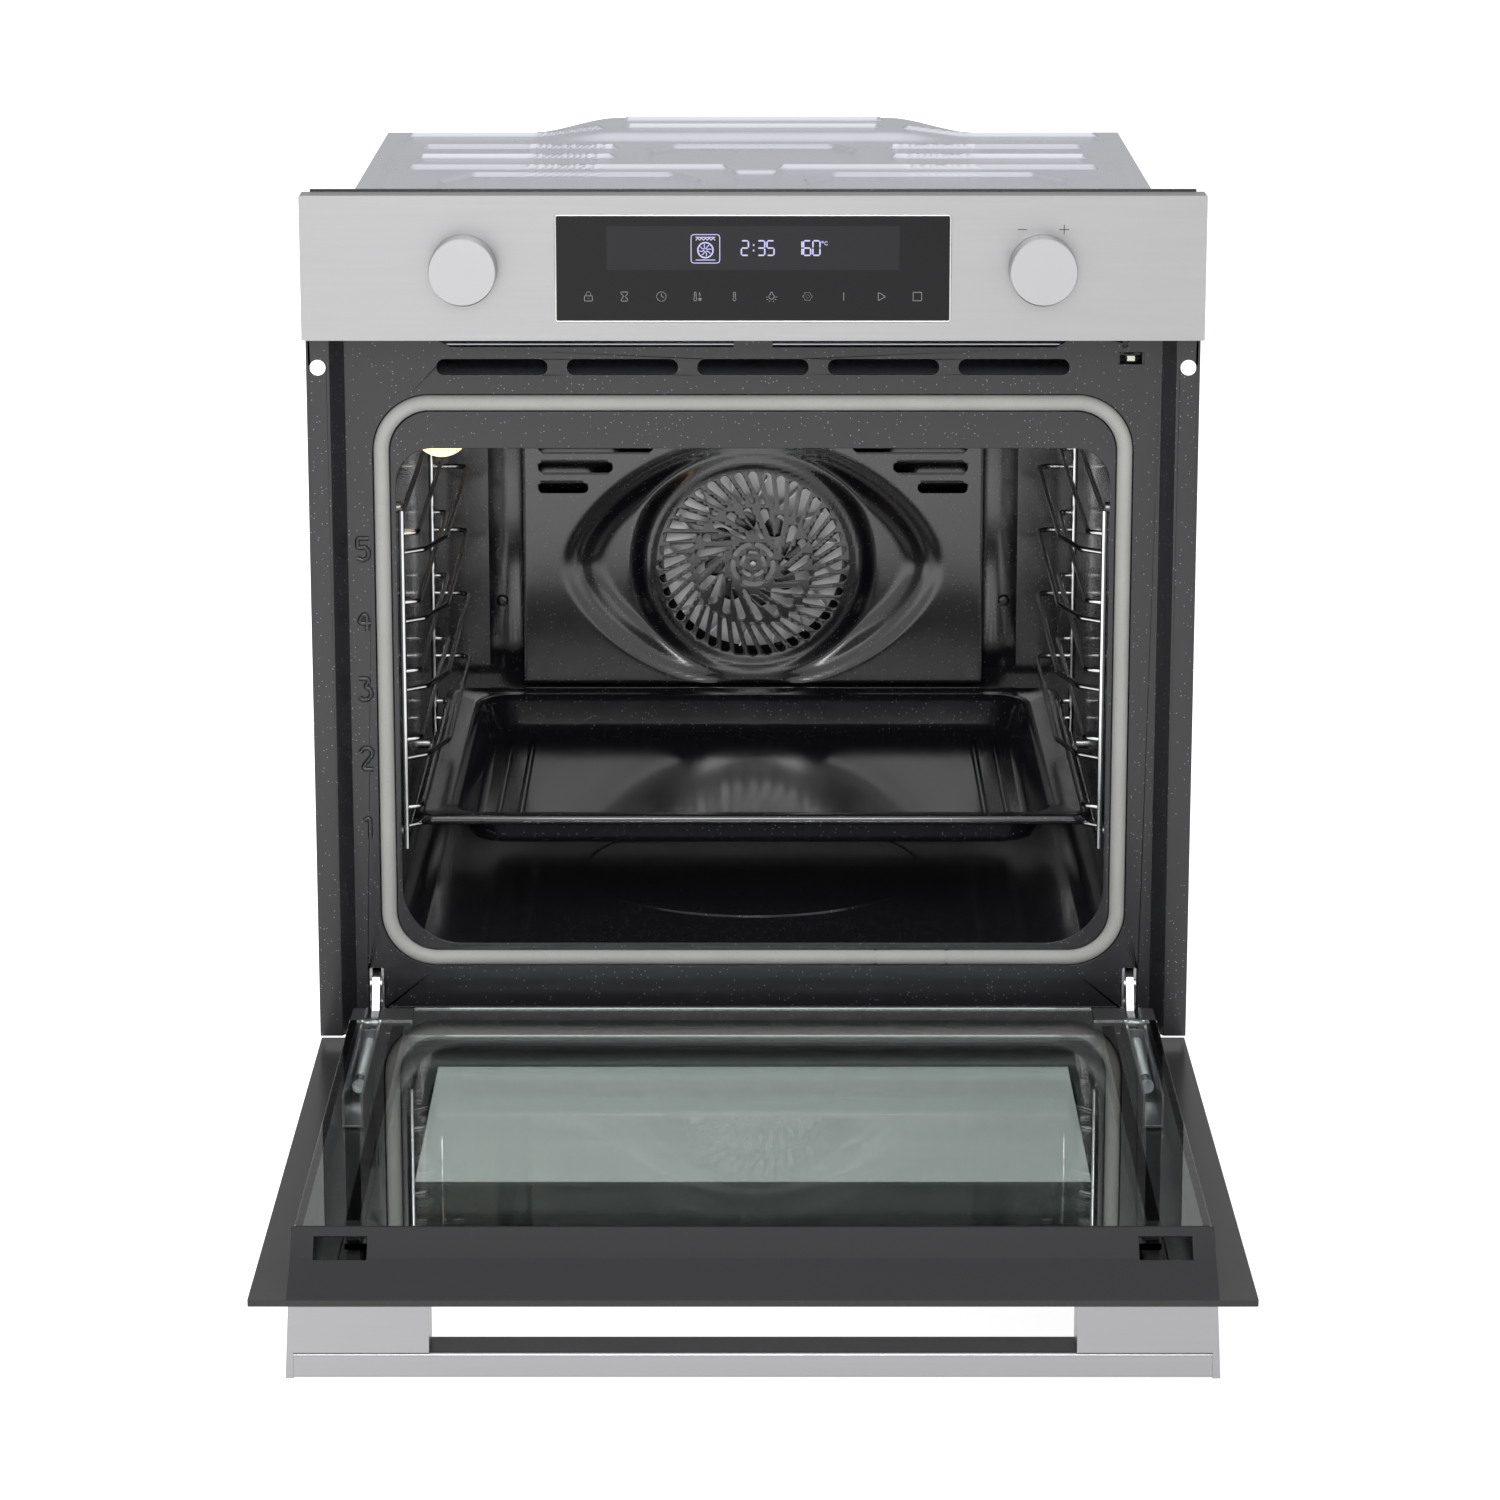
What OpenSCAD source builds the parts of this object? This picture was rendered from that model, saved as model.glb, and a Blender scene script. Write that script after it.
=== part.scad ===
// Built-in wall oven, 60 cm niche, millimetres.
// X runs across the front, +Y into the niche, +Z up; the origin is the centre of the base.
// The door is drawn open, level with the floor, and turns 90 degrees up to close.

/* [Case] */
// Width of the sheet-metal case
case_w = 557; // [530:1:670]
// Height of the case at its sides
case_h = 565; // [535:1:680]
// Depth of the case behind the front frame
case_d = 486; // [440:1:590]
// Thickness of the case sheets
sheet = 1; // [0.8:0.1:1.4]
// Depth of the hump behind the case
hump_d = 41; // [36:1:50]
// Rise of the hump above the top cover
hump_h = 8; // [4:1:12]

/* [Front] */
// Width of the flange each side of the case
flange_w = 19; // [17:0.5:24]
// Height of the control panel
panel_h = 96; // [90:1:116]
// Rise of the control panel above the case
panel_rise = 25; // [12:1:30]
// Depth of the control panel
panel_d = 20; // [18:1:26]
// Distance from the trim to the main face behind it
face_step = 18; // [16:0.5:21]
// Thickness of the enamelled front frame
frame_t = 1.2; // [1:0.1:1.5]
// Distance of a knob from the middle
knob_x = 190; // [165:1:215]
// Diameter of a knob
knob_dia = 44.7; // [36:0.1:54]
// Width of the display window
display_w = 260; // [216:1:300]
// Height of the display window
display_h = 71; // [60:1:76]

/* [Cavity] */
// Space between the case side and the cavity
side_space = 30.5; // [28:0.5:36]
// Height of the cavity floor above the base
floor_z = 66; // [62:1:80]
// Space between the cavity ceiling and the top cover
top_space = 129; // [127:1:140]
// Space between the cavity back and the case back
rear_space = 21; // [18:1:26]
// Diameter of the door gasket
gasket_dia = 10.8; // [9:0.1:11.2]
// Spacing of the shelf levels
level_pitch = 48.6; // [44:0.1:58]
// Diameter of the rack wire
wire_dia = 4.4; // [3.6:0.1:5.3]
// Depth of the fan cover
cover_d = 27; // [25:0.5:32]
// Diameter of the grille in the fan cover
grille_dia = 146; // [130:1:176]
// Diameter of the heating tubes
tube_dia = 6.5; // [5.4:0.1:7.8]

/* [Tray] */
// Length of the tray from front to back
tray_d = 372; // [310:1:375]
// Depth of the tray's basin
tray_h = 27; // [22:1:33]
// Thickness of the tray's sheet
tray_t = 1.2; // [1:0.1:1.5]

/* [Door] */
// Thickness of the glass panes
glass_t = 4; // [3.3:0.1:4.8]
// Depth of the door with its inner glass
door_d = 35; // [33:0.5:36]
// Distance of the handle's face from the outer glass
handle_out = 45; // [38:1:54]
// Thickness of the handle bar
handle_t = 16; // [13:0.5:19]
// Height of the handle bar
handle_h = 28; // [24:1:33]
// Diameter of the hinge pin
pin_dia = 6; // [5:0.1:7.2]

/* [Clearances] */
// Gap between parts that only face each other
gap = 0.4; // [0.3:0.05:0.6]
// Radial clearance of a shaft in its bore
run_fit = 0.05; // [0.03:0.01:0.08]
// Radial clearance of a screw in its hole
screw_fit = 0.15; // [0.1:0.05:0.3]

/* [Hidden] */
$fn = 48;

// The planes that the pieces share
face_y = -case_d / 2;
trim_y = face_y - face_step;
panel_y = trim_y - panel_d - 2;
back_y = case_d / 2;
front_w = case_w + 2 * flange_w;
panel_top = case_h + panel_rise;
panel_z0 = panel_top - panel_h;
panel_mid = panel_z0 + panel_h / 2;
side_x = case_w / 2 - 2 * sheet;

// The cavity and its mouth
cavity_x = case_w / 2 - side_space;
ceiling_z = case_h - top_space;
cavity_y1 = back_y - rear_space;
mouth_x = cavity_x - 8;
mouth_z0 = floor_z + 2;
mouth_z1 = ceiling_z - 22;
mouth_r_low = 40;
mouth_r_high = 25;
liner_t = 1;
liner_r = 22;

// The gasket lies half sunk in a channel round the mouth
gasket_r = gasket_dia / 2;
gasket_x = cavity_x + 1.4;
gasket_z0 = floor_z - 8.3;
gasket_z1 = ceiling_z + 9;
gasket_bend = 33;
gasket_y = panel_y + door_d + gasket_r + 2 * gap;
channel_half = gasket_r + gap;
channel_d = gasket_y + gasket_r + gap - face_y;

// The steps of the front frame
main_x = front_w / 2 - 24.5;
trim_x0 = front_w / 2 - 16;
trim_x1 = front_w / 2 - 0.5;
trim_z0 = 6.8;
shelf_z = panel_z0 + 6;
vent_z = ceiling_z + 33.3;
vent_h = 10.6;
vent_w = 74;
vent_pitch = 87.2;
mount_x = (trim_x0 + trim_x1) / 2;
mount_z = vent_z + 2.7;
mount_dia = 10.5;

// The fan behind its cover
fan_z = floor_z + 172;
fan_r = grille_dia / 2 - 4;
cover_x = 176.5;
cover_z0 = fan_z - fan_r - 25;
cover_z1 = ceiling_z - 20;
cover_flange = 28;
shaft_dia = 8;
shaft_hole = 16;
motor_y = cavity_y1 + 12;
motor_len = 34;

// The racks and the tray on their lowest level
rack_x = cavity_x - 7;
rail_x = cavity_x - 34;
upper_x = cavity_x - 18;
rack_y0 = face_y + 56;
rack_y1 = face_y + 361;
level_z0 = floor_z + 70;
wire_r = wire_dia / 2;
upper_rise = 13.4;
weld_gap = 0.1;
levels = floor((ceiling_z - level_z0 - 60) / level_pitch) + 1;
rack_top = level_z0 + (levels - 1) * level_pitch + upper_rise + 12;
rack_low = level_z0 - 12;
tray_w = 2 * (rack_x - wire_r - 3.8);
tray_y0 = cavity_y1 - cover_d - 8 - tray_d;
tray_z = level_z0 + wire_r + gap;
basin_w = 2 * (rail_x - wire_r - 3);

// The air duct, the blower and the lamp above the cavity
duct_z0 = ceiling_z + 27;
duct_z1 = duct_z0 + 22;
duct_x = 2.5 * vent_pitch + 6;
blower_y = back_y - 130;
blower_r = 84;
blower_h = 36;
rotor_r = 62;
rotor_bore = 6;
lamp_x = -(cavity_x - 34);
lamp_y = face_y + 80;
lamp_r = 20;
lamp_drop = 43;

// The door, its hinges and its handle, drawn closed and then turned open
hinge_y = panel_y + 17.5;
hinge_z = 14.5;
hinge_x = front_w / 2 - 38.5;
arm_t = 5;
case_half = 6.8;
case_wall = 1.5;
slot_half = 5.3;
slot_z = 52;
door_z0 = -5;
door_z1 = panel_z0 - 4;
glass_top = door_z1 - 41.5;
glass_low = 25;
cover_seam = glass_top + 0.3;
cover_wall = 2.4;
cover_w = front_w - 46;
inner_w = front_w - 49;
middle_x = hinge_x - case_half - 8;
rail_face = inner_w / 2;
rod_dia = 5;
rod_low = 36;
rod_len = 112;
handle_x1 = front_w / 2 - 21.5;
handle_x0 = handle_x1 - 85;
bar_x = handle_x1 - 5;
screw_dia = 4;

// Small screws of the case: side, place along Y
case_screw_z = case_h - 8;
case_screw_y = [panel_y + 268, back_y - 30];
gland_x = -(case_w / 2 - 53);
gland_z = case_h - 85;

function deep(d) = panel_y + d;
function ramp(t) = (1 - cos(180 * t)) / 2;
hump_x0 = 104;
hump_x1 = 169;
hump_steps = 12;
function hump_side(rise) = [for (i = [0:hump_steps])
    [hump_x1 - (hump_x1 - hump_x0) * i / hump_steps, rise * ramp(i / hump_steps)]];
function mirrored(points) = [for (i = [len(points) - 1:-1:0]) [-points[i][0], points[i][1]]];
function hump_line(rise) = concat(hump_side(rise), mirrored(hump_side(rise)));

module block(x0, x1, y0, y1, z0, z1) {
    translate([x0, y0, z0]) cube([x1 - x0, y1 - y0, z1 - z0]);
}

module both_sides() {
    children();
    mirror([1, 0, 0]) children();
}

// Outline in X and Z, given thickness t from y towards +Y
module upright(y, t) {
    translate([0, y + t, 0]) rotate([90, 0, 0]) linear_extrude(t) children();
}

// Outline in Y and Z, given thickness t from x towards +X
module sideways(x, t) {
    translate([x, 0, 0]) rotate([90, 0, 90]) linear_extrude(t) children();
}

module rounded(w, h, r) {
    square([w - 2 * r, h], center = true);
    square([w, h - 2 * r], center = true);
    for (x = [-1, 1], y = [-1, 1]) translate([x * (w / 2 - r), y * (h / 2 - r)]) circle(r);
}

module slot(w, h) {
    square([w - h, h], center = true);
    for (x = [-1, 1]) translate([x * (w - h) / 2, 0]) circle(h / 2);
}

module along_y(x, y, z, len, r) {
    translate([x, y + len, z]) rotate([90, 0, 0]) cylinder(h = len, r = r);
}

module along_x(x, y, z, len, r) {
    translate([x, y, z]) rotate([0, 90, 0]) cylinder(h = len, r = r);
}

// Turns what is drawn in the closed door's place down to the open door's place
module opened() {
    translate([0, hinge_y, hinge_z]) rotate([90, 0, 0]) translate([0, -hinge_y, -hinge_z]) children();
}

// ---- Case ----

module case_outline(grow) {
    translate([-case_w / 2 + sheet - grow, face_y])
        square([case_w - 2 * sheet + 2 * grow, case_d + grow]);
    translate([0, back_y + grow]) polygon(hump_line(hump_d));
}

module base_plate() {
    color("silver") difference() {
        union() {
            block(-case_w / 2, case_w / 2, face_y + frame_t, back_y, 0, sheet);
            both_sides() block(case_w / 2 - sheet, case_w / 2, face_y + 30, back_y, sheet, 15);
            linear_extrude(sheet) translate([0, back_y]) polygon(hump_line(hump_d));
        }
        for (x = [-150:60:150]) translate([x, -case_d / 4, -1]) linear_extrude(4) slot(40, 6);
        for (x = [-150:60:150]) translate([x, case_d / 4, -1]) linear_extrude(4) slot(40, 6);
    }
}

module side_panel() {
    color("silver") difference() {
        union() {
            block(side_x, side_x + sheet, face_y + frame_t, back_y - sheet, sheet, case_h - sheet);
            block(side_x - 12, side_x, face_y + frame_t, face_y + frame_t + sheet, slot_z + 8,
                case_h - 120);
            block(side_x - 12, side_x, back_y - 2 * sheet, back_y - sheet, sheet, case_h - sheet);
            for (z = [120, ceiling_z - 60]) translate([0, 0, z]) sideways(side_x + sheet, 0.6)
                translate([0, 0]) rounded(case_d - 120, 22, 10);
        }
        for (i = [0:6]) translate([0, back_y - 60 - i * 16, case_h - 70]) sideways(side_x - 1, 5)
            rotate(90) slot(44, 5);
        for (y = case_screw_y) along_x(side_x - 1, y, case_screw_z, 4, screw_dia / 2 + screw_fit);
    }
}

module side_panel_left() mirror([1, 0, 0]) side_panel();

module side_panel_right() side_panel();

module top_bead(x0, x1, y, w) {
    translate([(x0 + x1) / 2, y, case_h]) linear_extrude(1.6) slot(abs(x1 - x0), w);
}

module top_cover() {
    hump_y0 = back_y - 52;
    color("silver") difference() {
        union() {
            translate([0, 0, case_h - sheet]) linear_extrude(sheet) difference() {
                case_outline(sheet);
                translate([0, hump_y0]) square([2 * hump_x1, 400], center = false);
                mirror([1, 0]) translate([0, hump_y0]) square([2 * hump_x1, 400]);
            }
            intersection() {
                translate([0, 0, case_h - 20]) linear_extrude(40) case_outline(sheet);
                union() {
                    upright(hump_y0, case_d) difference() {
                        translate([0, case_h]) polygon(concat(hump_line(hump_h),
                            [[-2 * hump_x1, 0], [-2 * hump_x1, -sheet], [2 * hump_x1, -sheet],
                            [2 * hump_x1, 0]]));
                        translate([0, case_h - sheet]) polygon(hump_line(hump_h));
                    }
                    upright(hump_y0, sheet) translate([0, case_h - sheet]) polygon(hump_line(hump_h));
                }
            }
            translate([0, 0, case_h - 15]) linear_extrude(15 - sheet) difference() {
                case_outline(sheet);
                case_outline(0);
                translate([-case_w, face_y - 1]) square([2 * case_w, 2]);
            }
            intersection() {
                translate([0, 0, case_h - 1.5 * sheet]) linear_extrude(hump_h + sheet) difference() {
                    case_outline(sheet);
                    case_outline(0);
                }
                upright(hump_y0, case_d) translate([0, case_h - sheet / 2])
                    polygon(concat(hump_line(hump_h), [[-hump_x1, -2 * sheet], [hump_x1, -2 * sheet]]));
            }
            both_sides() {
                for (d = [104, 159]) top_bead(101, 245, back_y - d + 13, 9);
                top_bead(117, 255, back_y - 22, 9);
                top_bead(35, 247, face_y + 280, 9);
                translate([case_w / 2 - 17, 60, case_h]) linear_extrude(1.6) rotate(90)
                    slot(case_d - 160, 9);
                translate([130, face_y + 226, case_h]) linear_extrude(1.6) rounded(150, 66, 14);
            }
            translate([0, back_y - 95, case_h]) linear_extrude(1.6) rounded(120, 50, 14);
        }
        both_sides() for (y = case_screw_y)
            along_x(side_x, y, case_screw_z, 6, screw_dia / 2 + screw_fit);
    }
}

module rear_panel() {
    color("silver") difference() {
        translate([0, 0, sheet]) linear_extrude(case_h - 2 * sheet) difference() {
            union() {
                translate([-case_w / 2 + sheet, back_y - sheet]) square([case_w - 2 * sheet, sheet]);
                translate([0, back_y]) polygon(hump_line(hump_d));
            }
            translate([0, back_y - sheet]) polygon(hump_line(hump_d));
            translate([-hump_x1 + 6, back_y - 3 * sheet]) square([2 * hump_x1 - 12, 3 * sheet - 0.5]);
        }
        for (i = [0:9], z = [60, case_h - 60]) translate([(i - 4.5) * 19, 0, z])
            upright(back_y - 5, hump_d + 10) rotate(90) slot(60, 6);
        for (i = [0:4]) translate([210, 0, 120 + i * 14]) upright(back_y - 5, 10) slot(70, 6);
        along_y(gland_x, back_y - 5, gland_z + 25, 10, 9);
    }
}

module case_screws() {
    color("dimgray") both_sides() for (y = case_screw_y) {
        along_x(case_w / 2, y, case_screw_z, 2, 3.6);
        along_x(side_x - 4, y, case_screw_z, case_w / 2 - side_x + 4, screw_dia / 2);
    }
}

// ---- Front frame and control panel ----

module mouth_outline() {
    difference() {
        translate([-mouth_x, mouth_z0]) square([2 * mouth_x, mouth_z1 - mouth_z0]);
        for (s = [-1, 1]) {
            translate([s * mouth_x, mouth_z0]) difference() {
                square(2 * mouth_r_low, center = true);
                translate([-s * mouth_r_low, mouth_r_low]) circle(mouth_r_low);
            }
            translate([s * mouth_x, mouth_z1]) difference() {
                square(2 * mouth_r_high, center = true);
                translate([-s * mouth_r_high, -mouth_r_high]) circle(mouth_r_high);
            }
        }
    }
}

module gasket_outline(grow) {
    translate([0, (gasket_z0 + gasket_z1) / 2])
        rounded(2 * (gasket_x + grow), gasket_z1 - gasket_z0 + 2 * grow, gasket_bend + grow);
}

module channel_ring(grow) {
    difference() {
        gasket_outline(channel_half + grow);
        gasket_outline(-channel_half - grow);
    }
}

module frame_section() {
    polygon([[-1, face_y], [main_x, face_y], [trim_x0, trim_y], [trim_x1, trim_y],
        [trim_x1, face_y], [trim_x1 - frame_t, face_y], [trim_x1 - frame_t, trim_y + frame_t],
        [trim_x0 + 0.7 * frame_t, trim_y + frame_t], [main_x + 0.7 * frame_t, face_y + frame_t],
        [-1, face_y + frame_t]]);
}

module wide_vent() {
    polygon([[13, 0], [202, 0], [211, 5], [211, 10], [13, 10]]);
}

module front_frame() {
    color("#2b2b2e") difference() {
        union() {
            both_sides() translate([0, 0, trim_z0]) linear_extrude(shelf_z - trim_z0) frame_section();
            block(-main_x, main_x, face_y, face_y + frame_t, 0, shelf_z);
            block(-trim_x1, trim_x1, trim_y, face_y + frame_t, shelf_z - frame_t, shelf_z);
            block(-trim_x1, trim_x1, trim_y, trim_y + frame_t, shelf_z, panel_top - 2);
            block(-trim_x1 + 5, trim_x1 - 5, trim_y, trim_y + frame_t, shelf_z, panel_top + 1.5);
            both_sides() block(trim_x1 - frame_t, trim_x1, trim_y, face_y, shelf_z, panel_top - 20);
            upright(face_y, channel_d + frame_t) channel_ring(frame_t);
        }
        upright(face_y - 1, channel_d + 1) channel_ring(0);
        upright(face_y - 1, channel_d + 5) mouth_outline();
        for (i = [-2:2]) translate([i * vent_pitch, 0, vent_z]) upright(face_y - 1, 5)
            slot(vent_w, vent_h);
        both_sides() translate([0, 0, vent_z + 13.7]) upright(face_y - 1, 5) wide_vent();
        both_sides() translate([hinge_x, 0, 35]) upright(face_y - 1, 5) rounded(11, 30, 2);
        block(244, 261.5, face_y - 1, face_y + 5, vent_z + 2, vent_z + 10);
        along_y(248.4, face_y - 1, vent_z + 15.3, 5, 1.7);
        both_sides() along_y(mount_x, trim_y - 1, mount_z, 4, mount_dia / 2);
        translate([0, 0, panel_mid]) upright(trim_y - 1, 5) rounded(480, panel_h - 30, 4);
    }
}

module control_panel() {
    wall = 1.5;
    color("silver") difference() {
        translate([0, 0, panel_mid]) upright(panel_y, panel_d) rounded(front_w, panel_h, 1);
        translate([0, 0, panel_mid]) upright(panel_y + wall, panel_d)
            rounded(front_w - 2 * wall, panel_h - 2 * wall, 0.5);
        translate([0, 0, panel_mid]) upright(panel_y - 1, 5) rounded(display_w, display_h, 1.5);
        both_sides() along_y(knob_x, panel_y - 1, panel_mid, 5, 5.2);
    }
}

module display_glass() {
    color("#26262a") translate([0, 0, panel_mid]) upright(deep(0.3), 3)
        rounded(display_w - 2 * gap, display_h - 2 * gap, 1.2);
}

module display_module() {
    color("#101014") translate([0, 0, panel_mid]) upright(deep(3.3), 7)
        rounded(display_w - 20, display_h - 10, 2);
}

module control_board() {
    board_y = deep(14);
    color("darkgreen") difference() {
        union() {
            translate([0, 0, panel_mid]) upright(board_y, 1.6) rounded(470, panel_h - 34, 2);
            for (x = [-80, 0, 80]) block(x - 8, x + 8, board_y - 1.6, board_y, panel_mid - 8,
                panel_mid + 8);
            both_sides() block(knob_x - 7, knob_x + 7, board_y - 6, board_y, panel_mid - 7,
                panel_mid + 7);
            block(-60, -20, board_y + 1.6, board_y + 14, panel_mid - 15, panel_mid + 15);
            block(20, 44, board_y + 1.6, board_y + 12, panel_mid - 12, panel_mid + 12);
        }
        both_sides() along_y(knob_x, board_y - 7, panel_mid, 7.5, 3 + run_fit);
    }
}

module knob() {
    r = knob_dia / 2;
    color("gainsboro") translate([knob_x, panel_y, panel_mid]) rotate([90, 0, 0]) {
        translate([0, 0, 1.2]) rotate_extrude() polygon([[0, 17.3], [r - 0.8, 17.3], [r, 16.5], [r, 0],
            [r - 2, 0], [r - 2, 14], [5, 14], [5, 0], [0, 0]]);
        translate([0, 0, -5]) cylinder(h = 10, r = 4.5);
        translate([0, 0, -14.2]) cylinder(h = 12, r = 3);
    }
}

module knob_left() mirror([1, 0, 0]) knob();

module knob_right() knob();

// ---- Cavity ----

module cavity_outline(grow) {
    translate([0, (floor_z + ceiling_z) / 2])
        rounded(2 * (cavity_x + grow), ceiling_z - floor_z + 2 * grow, liner_r + grow);
}

module cavity_liner() {
    floor_ring = 128;
    color("#1c1c1f") difference() {
        union() {
            upright(face_y + frame_t, cavity_y1 - face_y - frame_t) difference() {
                cavity_outline(liner_t);
                cavity_outline(0);
            }
            upright(cavity_y1, liner_t) cavity_outline(liner_t);
            translate([0, face_y + 198, floor_z - 0.5]) difference() {
                cylinder(h = 1.3, r = floor_ring);
                translate([0, 0, -1]) cylinder(h = 4, r = floor_ring - 7);
            }
        }
        upright(face_y, channel_d + frame_t) channel_ring(frame_t);
        along_y(0, cavity_y1 - 1, fan_z, 5, shaft_hole / 2);
        translate([lamp_x, lamp_y, ceiling_z - 6]) cylinder(h = 10, r = lamp_r + gap);
        along_y(cavity_x - 30, cavity_y1 - 1, ceiling_z - 28, 5, 3.2);
        for (s = [-1, 1]) {
            along_y(s * 60, cavity_y1 - 1, ceiling_z - 14, 5, tube_dia / 2 + 0.2);
            along_y(s * 20, cavity_y1 - 1, fan_z - fan_r - 11 + 5 * s, 5, tube_dia / 2 + 2);
        }
        translate([0, 60, ceiling_z - 1]) cylinder(h = 5, r = 12);
    }
}

module grille_slots() {
    for (i = [0:39]) rotate(i * 9) translate([grille_dia / 2 - 15, 0]) rotate(18) slot(27, 5.4);
    for (i = [0:19]) rotate(i * 18 + 4) translate([grille_dia / 2 - 41, 0]) rotate(28) slot(22, 4.6);
    for (i = [0:4]) rotate(i * 72) translate([15, 0]) rotate(90) slot(13, 3.6);
    for (i = [0:4]) rotate(i * 72 + 36) translate([8.5, 0]) rotate(90) slot(7, 2.6);
    circle(2.6);
}

module fan_cover() {
    front = cavity_y1 - cover_d;
    z_mid = (cover_z0 + cover_z1) / 2;
    color("#232326") difference() {
        union() {
            translate([0, 0, z_mid]) upright(front, cover_d) rounded(2 * cover_x, cover_z1 - cover_z0, 6);
            both_sides() block(cover_x - 4, cover_x + cover_flange, cavity_y1 - 1, cavity_y1,
                cover_z0 + 4, cover_z1 - 4);
        }
        translate([0, 0, z_mid]) upright(front + 1, cover_d)
            rounded(2 * cover_x - 2, cover_z1 - cover_z0 - 2, 5);
        translate([0, 0, fan_z]) upright(front - 1, 4) grille_slots();
        both_sides() for (i = [0:2]) translate([cover_x - 12 - [44, 28, 19][i], 0, fan_z + 92 - i * 16])
            upright(front - 1, 4) slot([88, 57, 38][i], 8);
        both_sides() for (z = [cover_z0 + 60, cover_z1 - 70])
            along_y(cover_x + 20, cavity_y1 - 3, z, 6, 2.2);
    }
}

module ring_element() {
    color("dimgray") for (s = [-1, 1]) {
        r = fan_r + 18 - 5 * (1 + s);
        y = cavity_y1 - 13 - 5 * s;
        translate([0, y, fan_z]) rotate([90, 0, 0]) rotate_extrude() translate([r, 0])
            circle(tube_dia / 2);
        along_y(s * 20, y, fan_z - sqrt(r * r - 400), cavity_y1 + 18 - y, 0.85 * tube_dia / 2);
    }
}

// A flat serpentine tube: straight runs along Y joined by half rings
module serpentine(runs, pitch, y0, y1, z) {
    for (i = [0:runs - 1]) {
        x = (i - (runs - 1) / 2) * pitch;
        along_y(x, y0, z, y1 - y0, tube_dia / 2);
        if (i < runs - 1) translate([x + pitch / 2, i % 2 == 0 ? y0 : y1, z])
            rotate(i % 2 == 0 ? 180 : 0) rotate_extrude(angle = 180) translate([pitch / 2, 0])
                circle(tube_dia / 2);
    }
}

module grill_element() {
    z = ceiling_z - 14;
    color("dimgray") {
        serpentine(4, 40, face_y + 90, cavity_y1 - 60, z);
        for (s = [-1, 1]) along_y(s * 60, cavity_y1 - 60, z, 80, tube_dia / 2);
    }
}

module bottom_element() {
    z = floor_z - liner_t - tube_dia / 2 - 2;
    color("dimgray") {
        serpentine(4, 80, face_y + 110, cavity_y1 - 80, z);
        for (s = [-1, 1]) along_y(s * 120, cavity_y1 - 80, z, 90, tube_dia / 2);
    }
}

module lamp_housing() {
    color("silver") translate([lamp_x, lamp_y, ceiling_z + liner_t]) difference() {
        union() {
            cylinder(h = 1.5, r = lamp_r + 8);
            cylinder(h = 24, r = lamp_r + 3);
        }
        translate([0, 0, -1]) cylinder(h = 22, r = lamp_r + gap);
        translate([0, 0, 15]) cylinder(h = 20, r = 5);
    }
}

module lamp_lens() {
    r = lamp_r;
    color("#fff4dd") translate([lamp_x, lamp_y, ceiling_z]) rotate_extrude() difference() {
        union() {
            translate([0, -lamp_drop + r]) circle(r);
            translate([0, -lamp_drop + r]) square([r, lamp_drop - r + 8]);
        }
        translate([0, -lamp_drop + r]) circle(r - 2.2);
        translate([0, -lamp_drop + r]) square([r - 2.2, lamp_drop]);
        translate([-2 * r, -100]) square([2 * r, 200]);
    }
}

module lamp_bulb() {
    color("lightyellow") translate([lamp_x, lamp_y, ceiling_z]) {
        translate([0, 0, -20]) sphere(8);
        translate([0, 0, -20]) cylinder(h = 38, r = 4.5);
    }
}

// A guide wire at height z: in from the front upright, back along x, and out to the rear upright
module guide_wire(x, z) {
    bend = 8;
    guide_r = 0.85 * wire_r;
    reach = rack_x - wire_r - weld_gap - x - bend;
    along_x(x + bend, rack_y0, z, reach, guide_r);
    along_x(x + bend, rack_y1, z, reach, guide_r);
    along_y(x, rack_y0 + bend, z, rack_y1 - rack_y0 - 2 * bend, guide_r);
    translate([x + bend, rack_y0 + bend, z]) rotate(180) rotate_extrude(angle = 90)
        translate([bend, 0]) circle(guide_r);
    translate([x + bend, rack_y1 - bend, z]) rotate(90) rotate_extrude(angle = 90)
        translate([bend, 0]) circle(guide_r);
}

module rack() {
    color("gainsboro") {
        for (y = [rack_y0, rack_y1]) translate([rack_x, y, rack_low - 4])
            cylinder(h = rack_top - rack_low + 8, r = wire_r);
        for (z = [rack_low, rack_top]) along_y(rack_x, rack_y0 + wire_r + weld_gap, z,
            rack_y1 - rack_y0 - 2 * (wire_r + weld_gap), 0.85 * wire_r);
        for (i = [0:levels - 1]) {
            guide_wire(rail_x, level_z0 + i * level_pitch);
            guide_wire(upper_x, level_z0 + i * level_pitch + upper_rise);
        }
    }
}

module rack_left() mirror([1, 0, 0]) rack();

module rack_right() rack();

module rack_studs() {
    color("silver") both_sides() for (y = [rack_y0 + 30, rack_y1 - 30], z = [rack_low, rack_top])
        along_x(rack_x + wire_r, y, z, cavity_x - rack_x - wire_r, 4);
}

module door_gasket() {
    low = gasket_z0 + gasket_bend;
    high = gasket_z1 - gasket_bend;
    wide = gasket_x - gasket_bend;
    color("#8c8c8a") {
        for (s = [-1, 1]) translate([s * gasket_x, gasket_y, low]) cylinder(h = high - low, r = gasket_r);
        for (z = [gasket_z0, gasket_z1]) along_x(-wide, gasket_y, z, 2 * wide, gasket_r);
        for (a = [0:3]) translate([(a == 0 || a == 3 ? 1 : -1) * wide, gasket_y, a < 2 ? high : low])
            rotate([90, 0, 0]) rotate([0, 0, a * 90]) rotate_extrude(angle = 90)
                translate([gasket_bend, 0]) circle(gasket_r);
    }
}

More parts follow.
